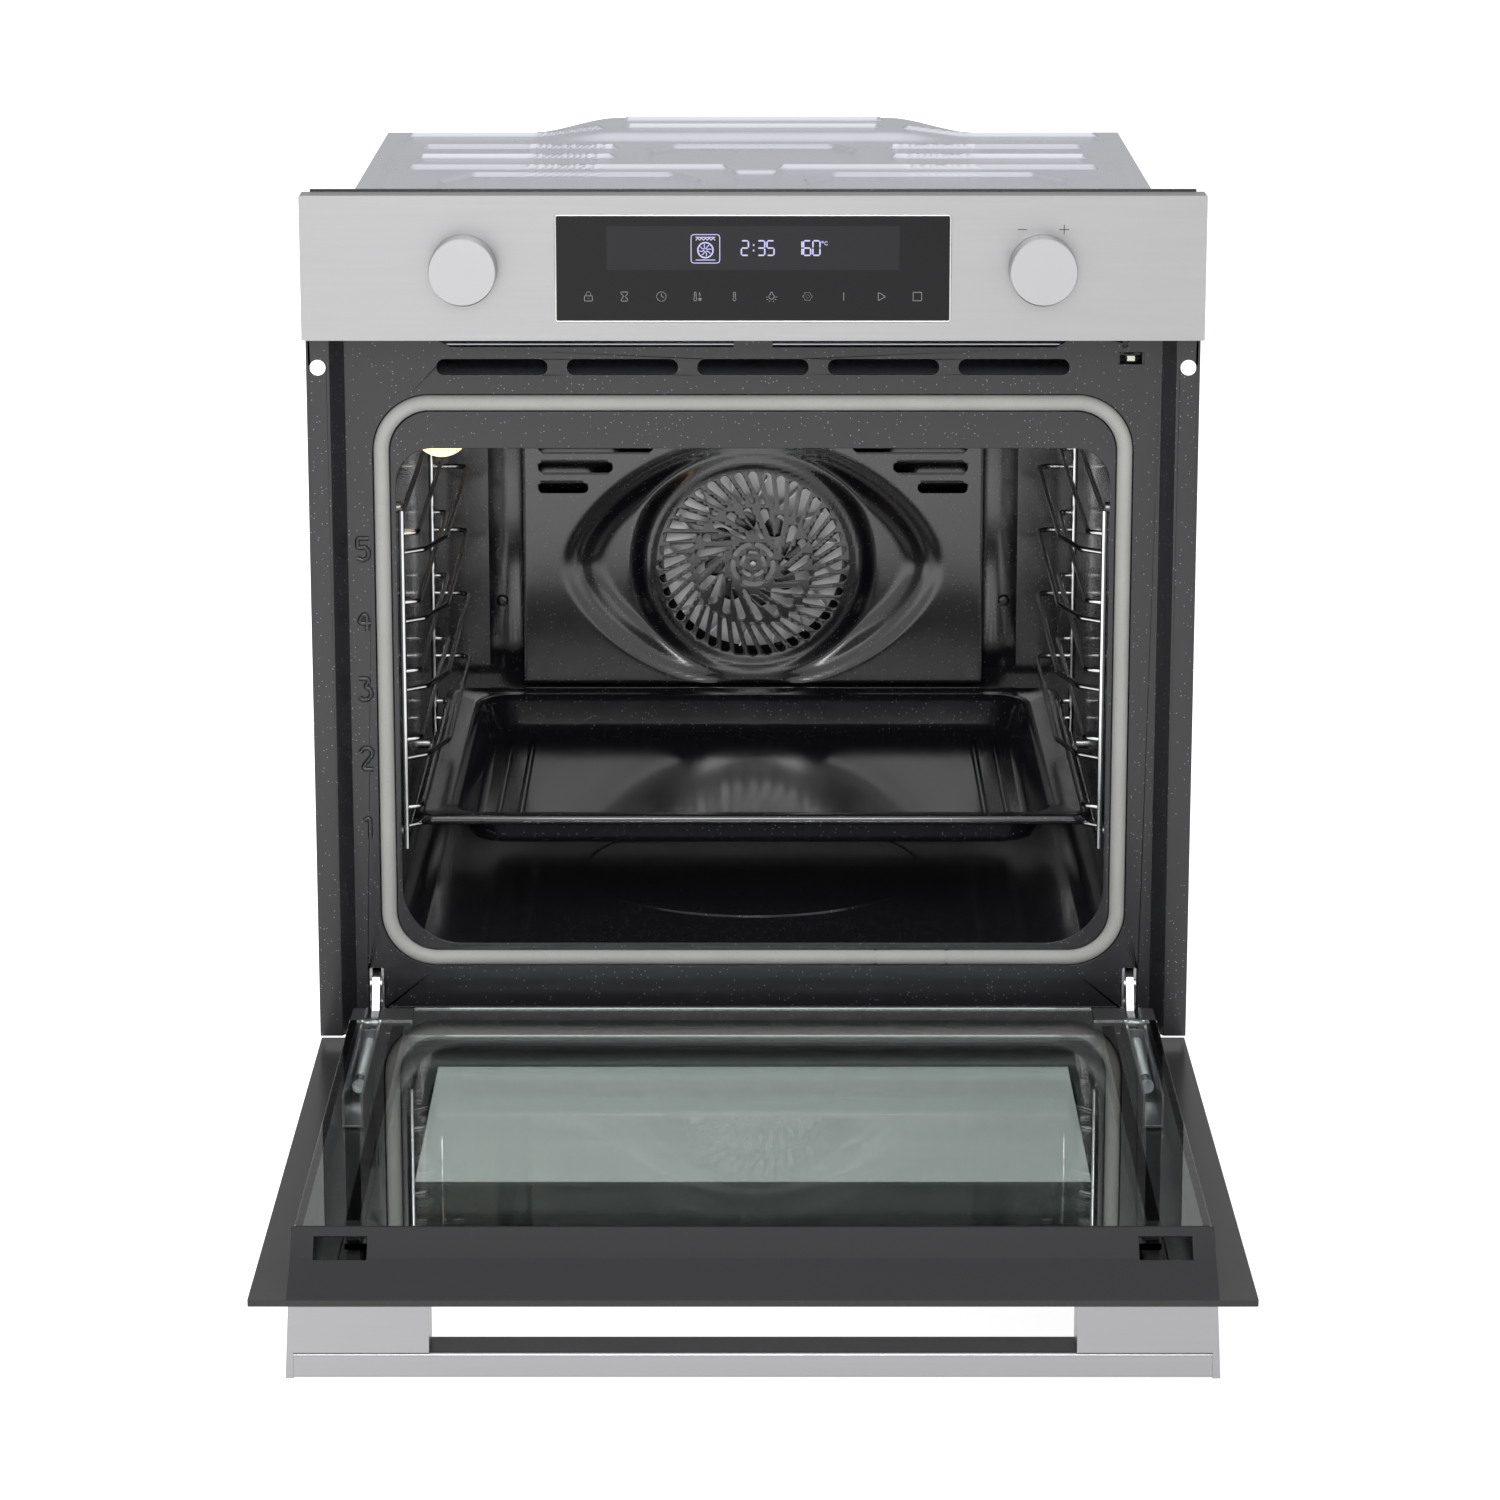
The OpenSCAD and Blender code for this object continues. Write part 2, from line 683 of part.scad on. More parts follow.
module insulation() {
    wool = side_x - cavity_x - liner_t - 2;
    color("#d9d2b8") difference() {
        union() {
            upright(face_y + channel_d + 3, cavity_y1 - face_y - channel_d) difference() {
                translate([0, (floor_z + ceiling_z) / 2 - 5])
                    rounded(2 * (side_x - 1), ceiling_z - floor_z + 2 * wool + 10, 12);
                cavity_outline(liner_t + 0.5);
                translate([-cavity_x + 10, floor_z - 14]) square([2 * cavity_x - 20, 30]);
            }
            upright(cavity_y1 + 2, rear_space - 5) translate([0, (floor_z + ceiling_z) / 2])
                rounded(2 * (side_x - 14), ceiling_z - floor_z + 20, 12);
        }
        both_sides() block(hinge_x - 18, hinge_x + 18, face_y - 1, face_y + 130, -1, slot_z + 18);
        translate([lamp_x, lamp_y, ceiling_z - 5]) cylinder(h = 60, r = lamp_r + 9);
        along_y(0, cavity_y1 - 1, fan_z, 40, 62);
        for (s = [-1, 1]) {
            along_y(s * 60, cavity_y1 - 1, ceiling_z - 14, 40, tube_dia);
            along_y(s * 20, cavity_y1 - 1, fan_z - fan_r - 11 + 5 * s, 40, tube_dia);
            along_y(s * 120, cavity_y1 - 1, floor_z - liner_t - tube_dia / 2 - 2, 40, tube_dia);
        }
        along_y(cavity_x - 30, cavity_y1 - 1, ceiling_z - 28, 40, 8);
        translate([0, 60, ceiling_z - 1]) cylinder(h = 60, r = 14);
    }
}

module temperature_probe() {
    color("silver") {
        along_y(cavity_x - 30, cavity_y1 - 60, ceiling_z - 28, 76, 2.8);
        along_y(cavity_x - 30, cavity_y1 + liner_t, ceiling_z - 28, 3, 6);
    }
}

// ---- Convection fan ----

module fan_wheel() {
    back = cavity_y1 - 5;
    color("#b8b8ba") translate([0, back, fan_z]) rotate([90, 0, 0]) difference() {
        union() {
            cylinder(h = 1, r = fan_r);
            cylinder(h = 12, r = 9);
            for (i = [0:15]) rotate(i * 22.5) translate([fan_r - 26, -0.6, 0.5]) rotate(-25)
                cube([25, 1.2, 15]);
        }
        translate([0, 0, -1]) cylinder(h = 20, r = shaft_dia / 2 + run_fit);
        for (i = [0:7]) rotate(i * 45 + 11) translate([30, 0, -1]) cylinder(h = 4, r = 8);
    }
}

module fan_shaft() {
    color("gray") along_y(0, cavity_y1 - 22.5, fan_z, motor_y + motor_len + 8 - cavity_y1 + 22.5,
        shaft_dia / 2);
}

module fan_nut() {
    color("gray") translate([0, cavity_y1 - 17.2, fan_z]) rotate([90, 0, 0]) difference() {
        cylinder(h = 5, r = 7.5, $fn = 6);
        translate([0, 0, -1]) cylinder(h = 8, r = shaft_dia / 2 + run_fit);
    }
}

module fan_motor() {
    color("slategray") difference() {
        union() {
            translate([0, 0, fan_z]) upright(motor_y, motor_len) rounded(64, 64, 6);
            translate([0, 0, fan_z]) upright(motor_y + 6, 2) rounded(112, 40, 8);
            for (s = [-1, 1]) along_y(s * 48, cavity_y1 + liner_t, fan_z, motor_y + 6 - cavity_y1 - liner_t,
                4);
            along_y(0, motor_y - 4, fan_z, 4, 10);
        }
        along_y(0, motor_y - 10, fan_z, motor_len + 20, shaft_dia / 2 + run_fit);
    }
}

// ---- Cooling air ----

module air_duct() {
    wall = 0.8;
    rear = blower_y + blower_r + 6;
    color("silver") difference() {
        block(-duct_x, duct_x, face_y + frame_t, rear, duct_z0, duct_z1);
        block(-duct_x + wall, duct_x - wall, face_y, rear - wall, duct_z0 + wall, duct_z1 - wall);
        translate([0, blower_y, duct_z0 + 5]) cylinder(h = 40, r = rotor_r - 12);
        translate([0, 60, duct_z0 - 1]) cylinder(h = 5, r = 12);
    }
}

module blower_housing() {
    wall = 1.2;
    color("lightgray") translate([0, blower_y, duct_z1]) difference() {
        cylinder(h = blower_h, r = blower_r);
        translate([0, 0, wall]) cylinder(h = blower_h - 2 * wall, r = blower_r - wall);
        translate([0, 0, -1]) cylinder(h = 5, r = rotor_r - 12);
        for (i = [0:7]) rotate(i * 45) translate([34, 0, blower_h - 5]) cylinder(h = 10, r = 9);
        translate([0, 0, blower_h - 5]) cylinder(h = 10, r = 8);
    }
}

module blower_rotor() {
    z = duct_z1 + 5;
    color("dimgray") translate([0, blower_y, z]) {
        cylinder(h = 1.5, r = rotor_r);
        cylinder(h = 20, r = 8);
        cylinder(h = blower_h + 14, r = rotor_bore / 2);
        for (i = [0:23]) rotate(i * 15) translate([rotor_r - 14, -0.6, 1]) rotate(30)
            cube([13, 1.2, 24]);
    }
}

module blower_motor() {
    z = duct_z1 + blower_h;
    color("slategray") translate([0, blower_y, z]) difference() {
        union() {
            cylinder(h = 30, r = 24);
            for (i = [0:3]) rotate(i * 90 + 45 / 2) translate([20, -6, 0]) cube([40, 12, 2]);
        }
        translate([0, 0, -1]) cylinder(h = 22, r = rotor_bore / 2 + run_fit);
        translate([0, 0, -1]) cylinder(h = 3, r = 8.5);
    }
}

// ---- Rear and front fittings ----

module terminal_block() {
    color("#e8e6df") difference() {
        translate([gland_x, 0, gland_z + 25]) upright(back_y, 28) rounded(66, 50, 4);
        translate([gland_x, 0, gland_z + 25]) upright(back_y + 3, 22) rounded(60, 44, 2);
        translate([gland_x, back_y + 14, gland_z - 2]) cylinder(h = 10, r = 9 + gap);
    }
}

module cable_gland() {
    color("#2a2a2a") translate([gland_x, back_y + 14, gland_z]) difference() {
        union() {
            translate([0, 0, -12]) cylinder(h = 12, r = 11.5);
            translate([0, 0, -1]) cylinder(h = 8, r = 9);
        }
        translate([0, 0, -20]) cylinder(h = 40, r = 5);
    }
}

module door_switch() {
    color("#303034") difference() {
        block(241, 265, face_y + frame_t, face_y + 38, vent_z - 6, vent_z + 18);
        block(245, 260, face_y, face_y + 26, vent_z, vent_z + 12);
        block(249, 256, face_y, face_y + 30, vent_z - 4, vent_z + 14);
        along_x(242, face_y + 20, vent_z + 6, 22, 1.5 + run_fit);
    }
}

module switch_lever() {
    color("#9a9a9a") {
        along_x(243, face_y + 20, vent_z + 6, 19, 1.5);
        sideways(250, 5) {
            translate([face_y + 20, vent_z + 6]) circle(3);
            translate([face_y + 1, vent_z + 4]) square([19, 3.4]);
        }
    }
}

// ---- Hinges on the case ----

module arm_outline() {
    polygon([[deep(10), 10], [deep(17), 6], [deep(24), 9], [deep(44), 25], [deep(76), 25],
        [deep(76), 43], [deep(40), 47], [deep(35), 45], [deep(25), 24], [deep(12), 22]]);
    translate([hinge_y, hinge_z]) circle(8.5);
}

module hinge_arms() {
    color("gray") both_sides() sideways(hinge_x - arm_t / 2, arm_t) difference() {
        arm_outline();
        translate([hinge_y, hinge_z]) circle(pin_dia / 2 + run_fit);
        translate([deep(36), 40]) circle(1.5 + run_fit);
    }
}

module hinge_receivers() {
    inner = arm_t / 2 + 0.5;
    color("darkgray") both_sides() difference() {
        block(hinge_x - inner - 2, hinge_x + inner + 2, face_y + frame_t, face_y + 96, 14, 62);
        block(hinge_x - inner, hinge_x + inner, face_y, face_y + 100, 16, 60);
    }
}

module catch_half() {
    d = deep(36);
    sideways(hinge_x + arm_t / 2 + 0.4, 1.2) difference() {
        union() {
            translate([d, 40]) circle(4);
            translate([d, 28]) circle(4);
            translate([d - 4, 28]) square([8, 12]);
        }
        translate([d, 28]) circle(1.6);
    }
}

module hinge_catch() {
    color("gainsboro") {
        translate([hinge_x, 0, 0]) both_sides() translate([-hinge_x, 0, 0]) catch_half();
        along_x(hinge_x - arm_t / 2 - 1.6, deep(36), 40, arm_t + 3.2, 1.5);
    }
}

module hinge_catch_left() mirror([1, 0, 0]) hinge_catch();

module hinge_catch_right() hinge_catch();

// ---- Tray ----

module tray() {
    mid = tray_y0 + tray_d / 2;
    low = tray_z + tray_t - tray_h;
    color("#1d1d20") translate([0, mid, 0]) {
        translate([0, 0, tray_z]) linear_extrude(tray_t) difference() {
            rounded(tray_w, tray_d, 12);
            rounded(basin_w - 2, tray_d - 46, 24);
        }
        translate([0, 0, low]) linear_extrude(tray_h - tray_t / 2) difference() {
            rounded(basin_w, tray_d - 44, 26);
            rounded(basin_w - 2 * tray_t, tray_d - 44 - 2 * tray_t, 26 - tray_t);
        }
        translate([0, 0, low]) linear_extrude(tray_t) rounded(basin_w, tray_d - 44, 26);
        for (y = [-1, 1]) along_x(-tray_w / 2 + 14, y * (tray_d / 2 - 2), tray_z + 2, tray_w - 28, 2);
        for (x = [-0.42, -0.34, 0.34, 0.42]) translate([x * basin_w, 0, low + tray_t - 0.1])
            linear_extrude(1.6) rotate(90) slot(tray_d - 110, 7);
    }
}

// ---- Door ----

module door_outer_glass() {
    color("#3a3a3b") opened() difference() {
        translate([0, 0, (door_z0 + door_z1) / 2]) upright(panel_y, glass_t)
            rounded(front_w, door_z1 - door_z0, 1);
        handle_bores(screw_dia / 2 + 4 * screw_fit, panel_y - 1, 10);
    }
}

module door_middle_glass() {
    color("#b9c9c6") opened() translate([0, 0, (slot_z + glass_top - 6) / 2])
        upright(deep(door_d / 2), glass_t) rounded(2 * middle_x, glass_top - 6 - slot_z, 2);
}

module door_inner_glass() {
    color("#9fb0ae") opened() upright(deep(door_d) - glass_t, glass_t) difference() {
        translate([0, (glass_low + glass_top) / 2]) rounded(inner_w, glass_top - glass_low, 3);
        for (s = [-1, 1]) translate([s * (hinge_x + 8), slot_z - 25]) square([73, 50], center = true);
    }
}

module door_rail() {
    color("#343436") opened() {
        block(rail_face - 5, rail_face, deep(glass_t), deep(door_d) - glass_t, glass_low, glass_top - 3);
        block(middle_x + 5.6, rail_face - 4, deep(glass_t), deep(glass_t) + 1.5, glass_low, glass_top - 3);
    }
}

module door_rail_left() mirror([1, 0, 0]) door_rail();

module door_rail_right() door_rail();

module cover_profile() {
    polygon([[deep(glass_t), door_z1], [deep(20.7), door_z1 - 27], [deep(31.3), door_z1 - 36],
        [deep(door_d), door_z1 - 39], [deep(door_d), cover_seam], [deep(glass_t), cover_seam]]);
}

module cover_hollow() {
    polygon([[deep(glass_t + cover_wall), door_z1 - 8], [deep(18.6), door_z1 - 28],
        [deep(30), door_z1 - 37.6], [deep(door_d) - cover_wall, door_z1 - 40],
        [deep(door_d) - cover_wall, cover_seam - 1], [deep(glass_t + cover_wall), cover_seam - 1]]);
}

module door_top_cover() {
    color("#3c3c3e") opened() difference() {
        sideways(-cover_w / 2, cover_w) cover_profile();
        sideways(-cover_w / 2 + cover_wall, cover_w - 2 * cover_wall) cover_hollow();
        both_sides() sideways(cover_w / 2 - 45.5, 32) polygon([[deep(22.2), door_z1 - 22],
            [deep(34), door_z1 - 31.6], [deep(26), door_z1 - 41], [deep(14), door_z1 - 31.4]]);
        handle_bores(screw_dia + gap, deep(glass_t) - 1, 5);
    }
}

module door_bottom_profile() {
    half = hinge_x - case_half - 2.7;
    color("#4a4a4c") opened() difference() {
        block(-half, half, deep(glass_t), deep(door_d) - glass_t - 0.2, 8, glass_low + 10);
        block(-half - 1, half + 1, deep(glass_t) + 1.5, deep(door_d), 9.5, glass_low + 20);
        for (i = [-5:5]) translate([i * 40, deep(17), 7]) linear_extrude(5) slot(30, 8);
    }
}

module door_corner_clips() {
    half = slot_half + 0.5;
    color("#2c2c2e") opened() both_sides() {
        difference() {
            block(hinge_x - 28, rail_face - 0.5, deep(door_d) - glass_t, deep(door_d), glass_low + 1,
                slot_z - 0.5);
            block(hinge_x - half, hinge_x + half, deep(10), deep(door_d) + 5, 0, slot_z - 4);
        }
        block(hinge_x - 28, hinge_x - case_half - 2.5, deep(door_d) - glass_t - 6,
            deep(door_d) - glass_t, glass_low + 11, slot_z - 0.5);
    }
}

module door_seals() {
    color("#1e1e1e") opened() both_sides() {
        block(middle_x - 9, middle_x - 1, deep(glass_t), deep(door_d / 2), slot_z + 10, glass_top - 12);
        block(middle_x - 9, middle_x - 1, deep(door_d / 2) + glass_t, deep(door_d) - glass_t, slot_z + 10,
            glass_top - 12);
    }
}

// ---- Handle ----

module handle_bores(r, y, len) {
    both_sides() for (x = [handle_x0 + 20, handle_x1 - 20])
        along_y(x, y, door_z1 - handle_h / 2, len, r);
}

module handle_bar() {
    color("#c4c5c8") opened() translate([0, deep(-handle_out + handle_t / 2), door_z1 - handle_h / 2])
        rotate([90, 0, 90]) translate([0, 0, -bar_x]) linear_extrude(2 * bar_x)
            rounded(handle_t, handle_h, 2.5);
}

module handle_brackets() {
    top = door_z1;
    low = door_z1 - handle_h;
    color("#bfc0c3") opened() both_sides() difference() {
        translate([0, 0, low]) linear_extrude(top - low) polygon([[handle_x0, panel_y],
            [handle_x0, deep(-handle_out + handle_t + 0.1)], [bar_x + 0.1, deep(-handle_out + handle_t + 0.1)],
            [bar_x + 0.1, deep(-handle_out)], [handle_x1, deep(-handle_out)],
            [handle_x1 - 2.4, panel_y]]);
        for (x = [handle_x0 + 20, handle_x1 - 20])
            along_y(x, deep(-14), (top + low) / 2, 20, screw_dia / 2 + screw_fit);
    }
}

module handle_screws() {
    color("silver") opened() {
        handle_bores(screw_dia / 2, deep(-13), 13 + glass_t);
        handle_bores(screw_dia, deep(glass_t), 2.2);
    }
}

// ---- Hinges in the door ----

module hinge_cases() {
    low = 6;
    high = 200;
    back = door_d - glass_t - 2;
    color("darkgray") opened() both_sides() difference() {
        union() {
            difference() {
                block(hinge_x - case_half, hinge_x + case_half, deep(7), deep(back), low, high);
                block(hinge_x - case_half + case_wall, hinge_x + case_half - case_wall,
                    deep(7) + case_wall, deep(40), low - 1, high + 1);
            }
            block(hinge_x - case_half + 1, hinge_x + case_half - 1, deep(8), deep(back - 2), 56, 58.5);
        }
        along_x(hinge_x - 12, hinge_y, hinge_z, 24, pin_dia / 2 + run_fit);
        translate([hinge_x, hinge_y, 50]) cylinder(h = 12, r = rod_dia / 2 + 2 * run_fit);
    }
}

module hinge_pins() {
    color("gainsboro") opened() both_sides() {
        along_x(hinge_x - case_half - 1, hinge_y, hinge_z, 2 * case_half + 2, pin_dia / 2);
        for (x = [hinge_x - case_half - 2, hinge_x + case_half])
            along_x(x, hinge_y, hinge_z, 2, pin_dia / 2 + 1.2);
    }
}

module hinge_rods() {
    color("silver") opened() both_sides() translate([hinge_x, hinge_y, rod_low]) {
        cylinder(h = rod_len, r = rod_dia / 2);
        translate([0, 0, rod_len - 3]) cylinder(h = 3, r = 4.8);
        sphere(rod_dia / 2 + 0.8);
    }
}

module hinge_springs() {
    pitch = 3.6;
    color("silver") opened() both_sides() for (i = [0:20])
        translate([hinge_x, hinge_y, 60.5 + i * pitch]) rotate_extrude()
            translate([3.9, 0]) circle(0.9);
}

base_plate();
side_panel_left();
side_panel_right();
top_cover();
rear_panel();
front_frame();
control_panel();
display_glass();
display_module();
control_board();
cavity_liner();
fan_cover();
ring_element();
grill_element();
bottom_element();
lamp_housing();
lamp_lens();
lamp_bulb();
rack_left();
rack_right();
rack_studs();
door_gasket();
insulation();
fan_motor();
blower_housing();
blower_motor();
air_duct();
terminal_block();
cable_gland();
temperature_probe();
door_switch();
case_screws();
hinge_receivers();
hinge_arms();
knob_left();
knob_right();
fan_wheel();
fan_shaft();
fan_nut();
blower_rotor();
switch_lever();
hinge_catch_left();
hinge_catch_right();
tray();
door_outer_glass();
door_middle_glass();
door_inner_glass();
door_rail_left();
door_rail_right();
door_top_cover();
door_bottom_profile();
door_corner_clips();
door_seals();
handle_bar();
handle_brackets();
handle_screws();
hinge_cases();
hinge_pins();
hinge_rods();
hinge_springs();
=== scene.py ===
"""Looks of a built-in wall oven, laid out as a Blender add-on and run as a script.

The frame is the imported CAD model. Every piece is made in its frame, in metres, and rides on
one of its bodies. +X is to the right across the front, +Y into the niche and +Z up.
"""

import math

import bmesh
import bpy
from mathutils import Matrix, Vector


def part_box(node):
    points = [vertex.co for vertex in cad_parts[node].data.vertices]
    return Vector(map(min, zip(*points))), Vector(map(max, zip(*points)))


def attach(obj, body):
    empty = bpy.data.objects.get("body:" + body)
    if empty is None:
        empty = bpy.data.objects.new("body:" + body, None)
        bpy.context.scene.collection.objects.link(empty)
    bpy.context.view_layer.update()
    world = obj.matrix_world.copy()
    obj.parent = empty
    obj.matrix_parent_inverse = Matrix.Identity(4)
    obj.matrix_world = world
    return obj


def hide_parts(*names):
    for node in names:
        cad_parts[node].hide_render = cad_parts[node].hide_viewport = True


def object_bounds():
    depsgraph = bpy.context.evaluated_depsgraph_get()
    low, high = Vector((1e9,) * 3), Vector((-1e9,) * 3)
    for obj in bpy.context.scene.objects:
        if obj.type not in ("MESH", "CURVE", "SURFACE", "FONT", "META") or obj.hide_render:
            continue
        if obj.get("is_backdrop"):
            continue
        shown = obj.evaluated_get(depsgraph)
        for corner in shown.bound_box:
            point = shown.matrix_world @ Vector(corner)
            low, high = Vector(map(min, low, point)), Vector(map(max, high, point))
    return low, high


bl_info = {
    "name": "Wall Oven",
    "version": (1, 0, 0),
    "blender": (4, 5, 0),
    "location": "3D View > Sidebar > Wall Oven",
    "description": "Finishes and detail pieces of a built-in wall oven",
    "category": "Add Mesh",
}

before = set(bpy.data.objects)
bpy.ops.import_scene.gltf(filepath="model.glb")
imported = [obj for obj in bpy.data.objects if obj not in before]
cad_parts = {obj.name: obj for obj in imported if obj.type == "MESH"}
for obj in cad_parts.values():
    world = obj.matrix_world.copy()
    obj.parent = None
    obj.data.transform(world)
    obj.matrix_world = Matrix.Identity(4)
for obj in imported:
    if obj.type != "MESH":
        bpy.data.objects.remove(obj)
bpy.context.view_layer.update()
MM = 0.001

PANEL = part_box("control_panel")
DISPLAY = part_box("display_glass")
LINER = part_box("cavity_liner")
FAN_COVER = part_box("fan_cover")
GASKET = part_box("door_gasket")
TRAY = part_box("tray")
PANEL_Y = PANEL[0].y


# ---- Shader graphs written as Python expressions ----


class Signal:
    """One output of a node, with arithmetic that adds Math nodes."""

    def __init__(self, graph, socket):
        self.graph = graph
        self.socket = socket

    def math(self, operation, *values):
        return self.graph.add("ShaderNodeMath", {"operation": operation}, dict(enumerate(values)))[0]

    def __add__(self, other):
        return self.math("ADD", self, other)

    __radd__ = __add__

    def __sub__(self, other):
        return self.math("SUBTRACT", self, other)

    def __rsub__(self, other):
        return self.math("SUBTRACT", other, self)

    def __mul__(self, other):
        return self.math("MULTIPLY", self, other)

    __rmul__ = __mul__

    def __lt__(self, other):
        return self.math("LESS_THAN", self, other)

    def __abs__(self):
        return self.math("ABSOLUTE", self)


class Graph:
    """A material's node tree."""

    def __init__(self, name):
        self.material = bpy.data.materials.new(name)
        self.material.use_nodes = True
        self.tree = self.material.node_tree
        self.tree.nodes.clear()
        self.place = self.add("ShaderNodeTexCoord")["Object"]

    def add(self, kind, settings=None, inputs=None):
        """Adds a node: first its settings, then the values or links of its sockets."""
        made = self.tree.nodes.new(kind)
        for name, value in (settings or {}).items():
            if name == "stops":
                self.set_stops(made.color_ramp, value)
            else:
                setattr(made, name, value)
        for key, value in (inputs or {}).items():
            if isinstance(value, Signal):
                self.tree.links.new(value.socket, made.inputs[key])
            else:
                made.inputs[key].default_value = value
        return Outputs(self, made)

    @staticmethod
    def set_stops(ramp, stops):
        while len(ramp.elements) < len(stops):
            ramp.elements.new(1.0)
        for element, (position, grey) in zip(ramp.elements, stops):
            element.position = position
            element.color = (grey, grey, grey, 1.0) if isinstance(grey, float) else (*grey, 1.0)

    def axes(self):
        split = self.add("ShaderNodeSeparateXYZ", None, {0: self.place})
        return split["X"], split["Y"], split["Z"]

    def stretched(self, scale):
        return self.add("ShaderNodeMapping", None, {"Vector": self.place, "Scale": scale})[0]

    def noise(self, scale, detail, stretch=(1, 1, 1), rough=0.5):
        inputs = {"Vector": self.stretched(stretch), "Scale": scale, "Detail": detail}
        inputs["Roughness"] = rough
        return self.add("ShaderNodeTexNoise", None, inputs)["Fac"]

    def specks(self, cell, radius, share):
        """1 inside small round specks: one for a share of the cells of this size."""
        cells = self.add("ShaderNodeTexVoronoi", None, {"Vector": self.place, "Scale": 1 / cell})
        split = self.add("ShaderNodeSeparateColor", None, {0: cells["Color"]})
        return (cells["Distance"] < radius / cell) * (split[0] < share)

    def blend(self, factor, low, high):
        """Mixes two colours."""
        inputs = {"Factor": factor, 6: rgba(low), 7: rgba(high)}
        return self.add("ShaderNodeMix", {"data_type": "RGBA"}, inputs)[2]

    def bump(self, height, strength, distance):
        inputs = {"Height": height, "Strength": strength, "Distance": distance}
        return self.add("ShaderNodeBump", None, inputs)["Normal"]

    def shade(self, **inputs):
        """A Principled shader; underscores in names stand for spaces."""
        named = {key.replace("_", " "): rgba(value) if key.endswith("Color") else value
                 for key, value in inputs.items()}
        return self.add("ShaderNodeBsdfPrincipled", None, named)[0]

    def finish(self, shader):
        self.add("ShaderNodeOutputMaterial", None, {"Surface": shader})
        return self.material


class Outputs:
    """A node's outputs, by name or by place."""

    def __init__(self, graph, made):
        self.graph = graph
        self.made = made

    def __getitem__(self, key):
        return Signal(self.graph, self.made.outputs[key])


def rgba(colour):
    if isinstance(colour, Signal) or len(colour) == 4:
        return colour
    return (*colour, 1.0)


# ---- Finishes ----


def brushed(name, colour, roughness):
    """Metal with fine brush lines along X."""
    g = Graph(name)
    lines = g.noise(1.0, 4.0, BRUSH_GRAIN, 0.65)
    cloud = g.noise(3.0, 2.0)
    tone = lines * 0.7 + cloud * 0.3
    low = [c * 0.93 for c in colour]
    high = [min(1.0, c * 1.05) for c in colour]
    return g.finish(g.shade(
        Base_Color=g.blend(tone, low, high),
        Metallic=1.0,
        Roughness=lines * 0.16 + (roughness - 0.08),
        Normal=g.bump(lines, 0.12, 0.2 * MM),
    ))


# Brush lines for each metre along X, Y and Z
BRUSH_GRAIN = (8, 420, 420)


def satin_metal(name, colour, roughness, bump=0.05):
    """Plain satin metal with a faint grain."""
    g = Graph(name)
    grain = g.noise(900, 3.0)
    stain = g.noise(12, 3.0)
    return g.finish(g.shade(
        Base_Color=g.blend(stain, [c * 0.94 for c in colour], [min(1, c * 1.04) for c in colour]),
        Metallic=1.0,
        Roughness=stain * 0.1 + grain * 0.06 + (roughness - 0.08),
        Normal=g.bump(grain, bump, 0.2 * MM),
    ))


def galvanised(name, colour):
    """Zinc-coated sheet with soft crystals."""
    g = Graph(name)
    cells = g.add("ShaderNodeTexVoronoi", None, {"Vector": g.place, "Scale": 130.0})
    crystal = g.add("ShaderNodeSeparateColor", None, {0: cells["Color"]})[0]
    cloud = g.noise(14, 4.0)
    return g.finish(g.shade(
        Base_Color=g.blend(crystal * 0.2 + cloud * 0.8, [c * 0.94 for c in colour], colour),
        Metallic=0.75,
        Roughness=crystal * 0.05 + cloud * 0.08 + 0.24,
        Normal=g.bump(cloud, 0.03, 1 * MM),
    ))


def enamel(name, colour, roughness, coat):
    """Fired enamel with fine pale specks and a faint ripple."""
    g = Graph(name)
    dots = g.specks(2.6 * MM, 0.36 * MM, 0.5)
    fine = g.noise(2600, 2.0)
    mottle = g.noise(30, 3.0)
    body = g.blend(mottle, [c * 0.85 for c in colour], [c * 1.15 for c in colour])
    grain = g.blend(fine * 0.5, (0, 0, 0), [c * 0.9 for c in colour])
    base = g.add("ShaderNodeMix", {"data_type": "RGBA", "blend_type": "ADD"},
                 {"Factor": 1.0, 6: body, 7: grain})[2]
    return g.finish(g.shade(
        Base_Color=g.blend(dots * 0.35, base, (0.5, 0.5, 0.55)),
        Roughness=mottle * 0.1 + (roughness - 0.05),
        Specular_IOR_Level=0.4,
        Coat_Weight=coat,
        Coat_Roughness=0.12,
        Normal=g.bump(g.noise(220, 2.0), 0.15, 0.25 * MM),
    ))


def plastic(name, colour, roughness=0.5, texture=0.3, shine=0.5):
    """Moulded plastic with a fine spark-eroded texture."""
    g = Graph(name)
    grain = g.noise(1800, 3.0)
    wear = g.noise(9, 4.0)
    return g.finish(g.shade(
        Base_Color=g.blend(wear, [c * 0.9 for c in colour], [c * 1.1 for c in colour]),
        Roughness=wear * 0.12 + (roughness - 0.06),
        Specular_IOR_Level=shine,
        Normal=g.bump(grain, texture, 0.3 * MM),
    ))


def chrome(name):
    """Bright plating with slight heat stains."""
    g = Graph(name)
    stain = g.noise(60, 4.0)
    return g.finish(g.shade(
        Base_Color=g.blend(stain, (0.496, 0.496, 0.504), (0.713, 0.713, 0.7245)),
        Metallic=1.0,
        Roughness=stain * 0.12 + 0.08,
    ))


def wool(name, colour):
    """Loose mineral wool."""
    g = Graph(name)
    fibre = g.noise(90, 8.0, (1, 3, 1), 0.75)
    return g.finish(g.shade(
        Base_Color=g.blend(fibre, [c * 0.6 for c in colour], colour),
        Roughness=0.95,
        Normal=g.bump(fibre, 0.8, 4 * MM),
    ))


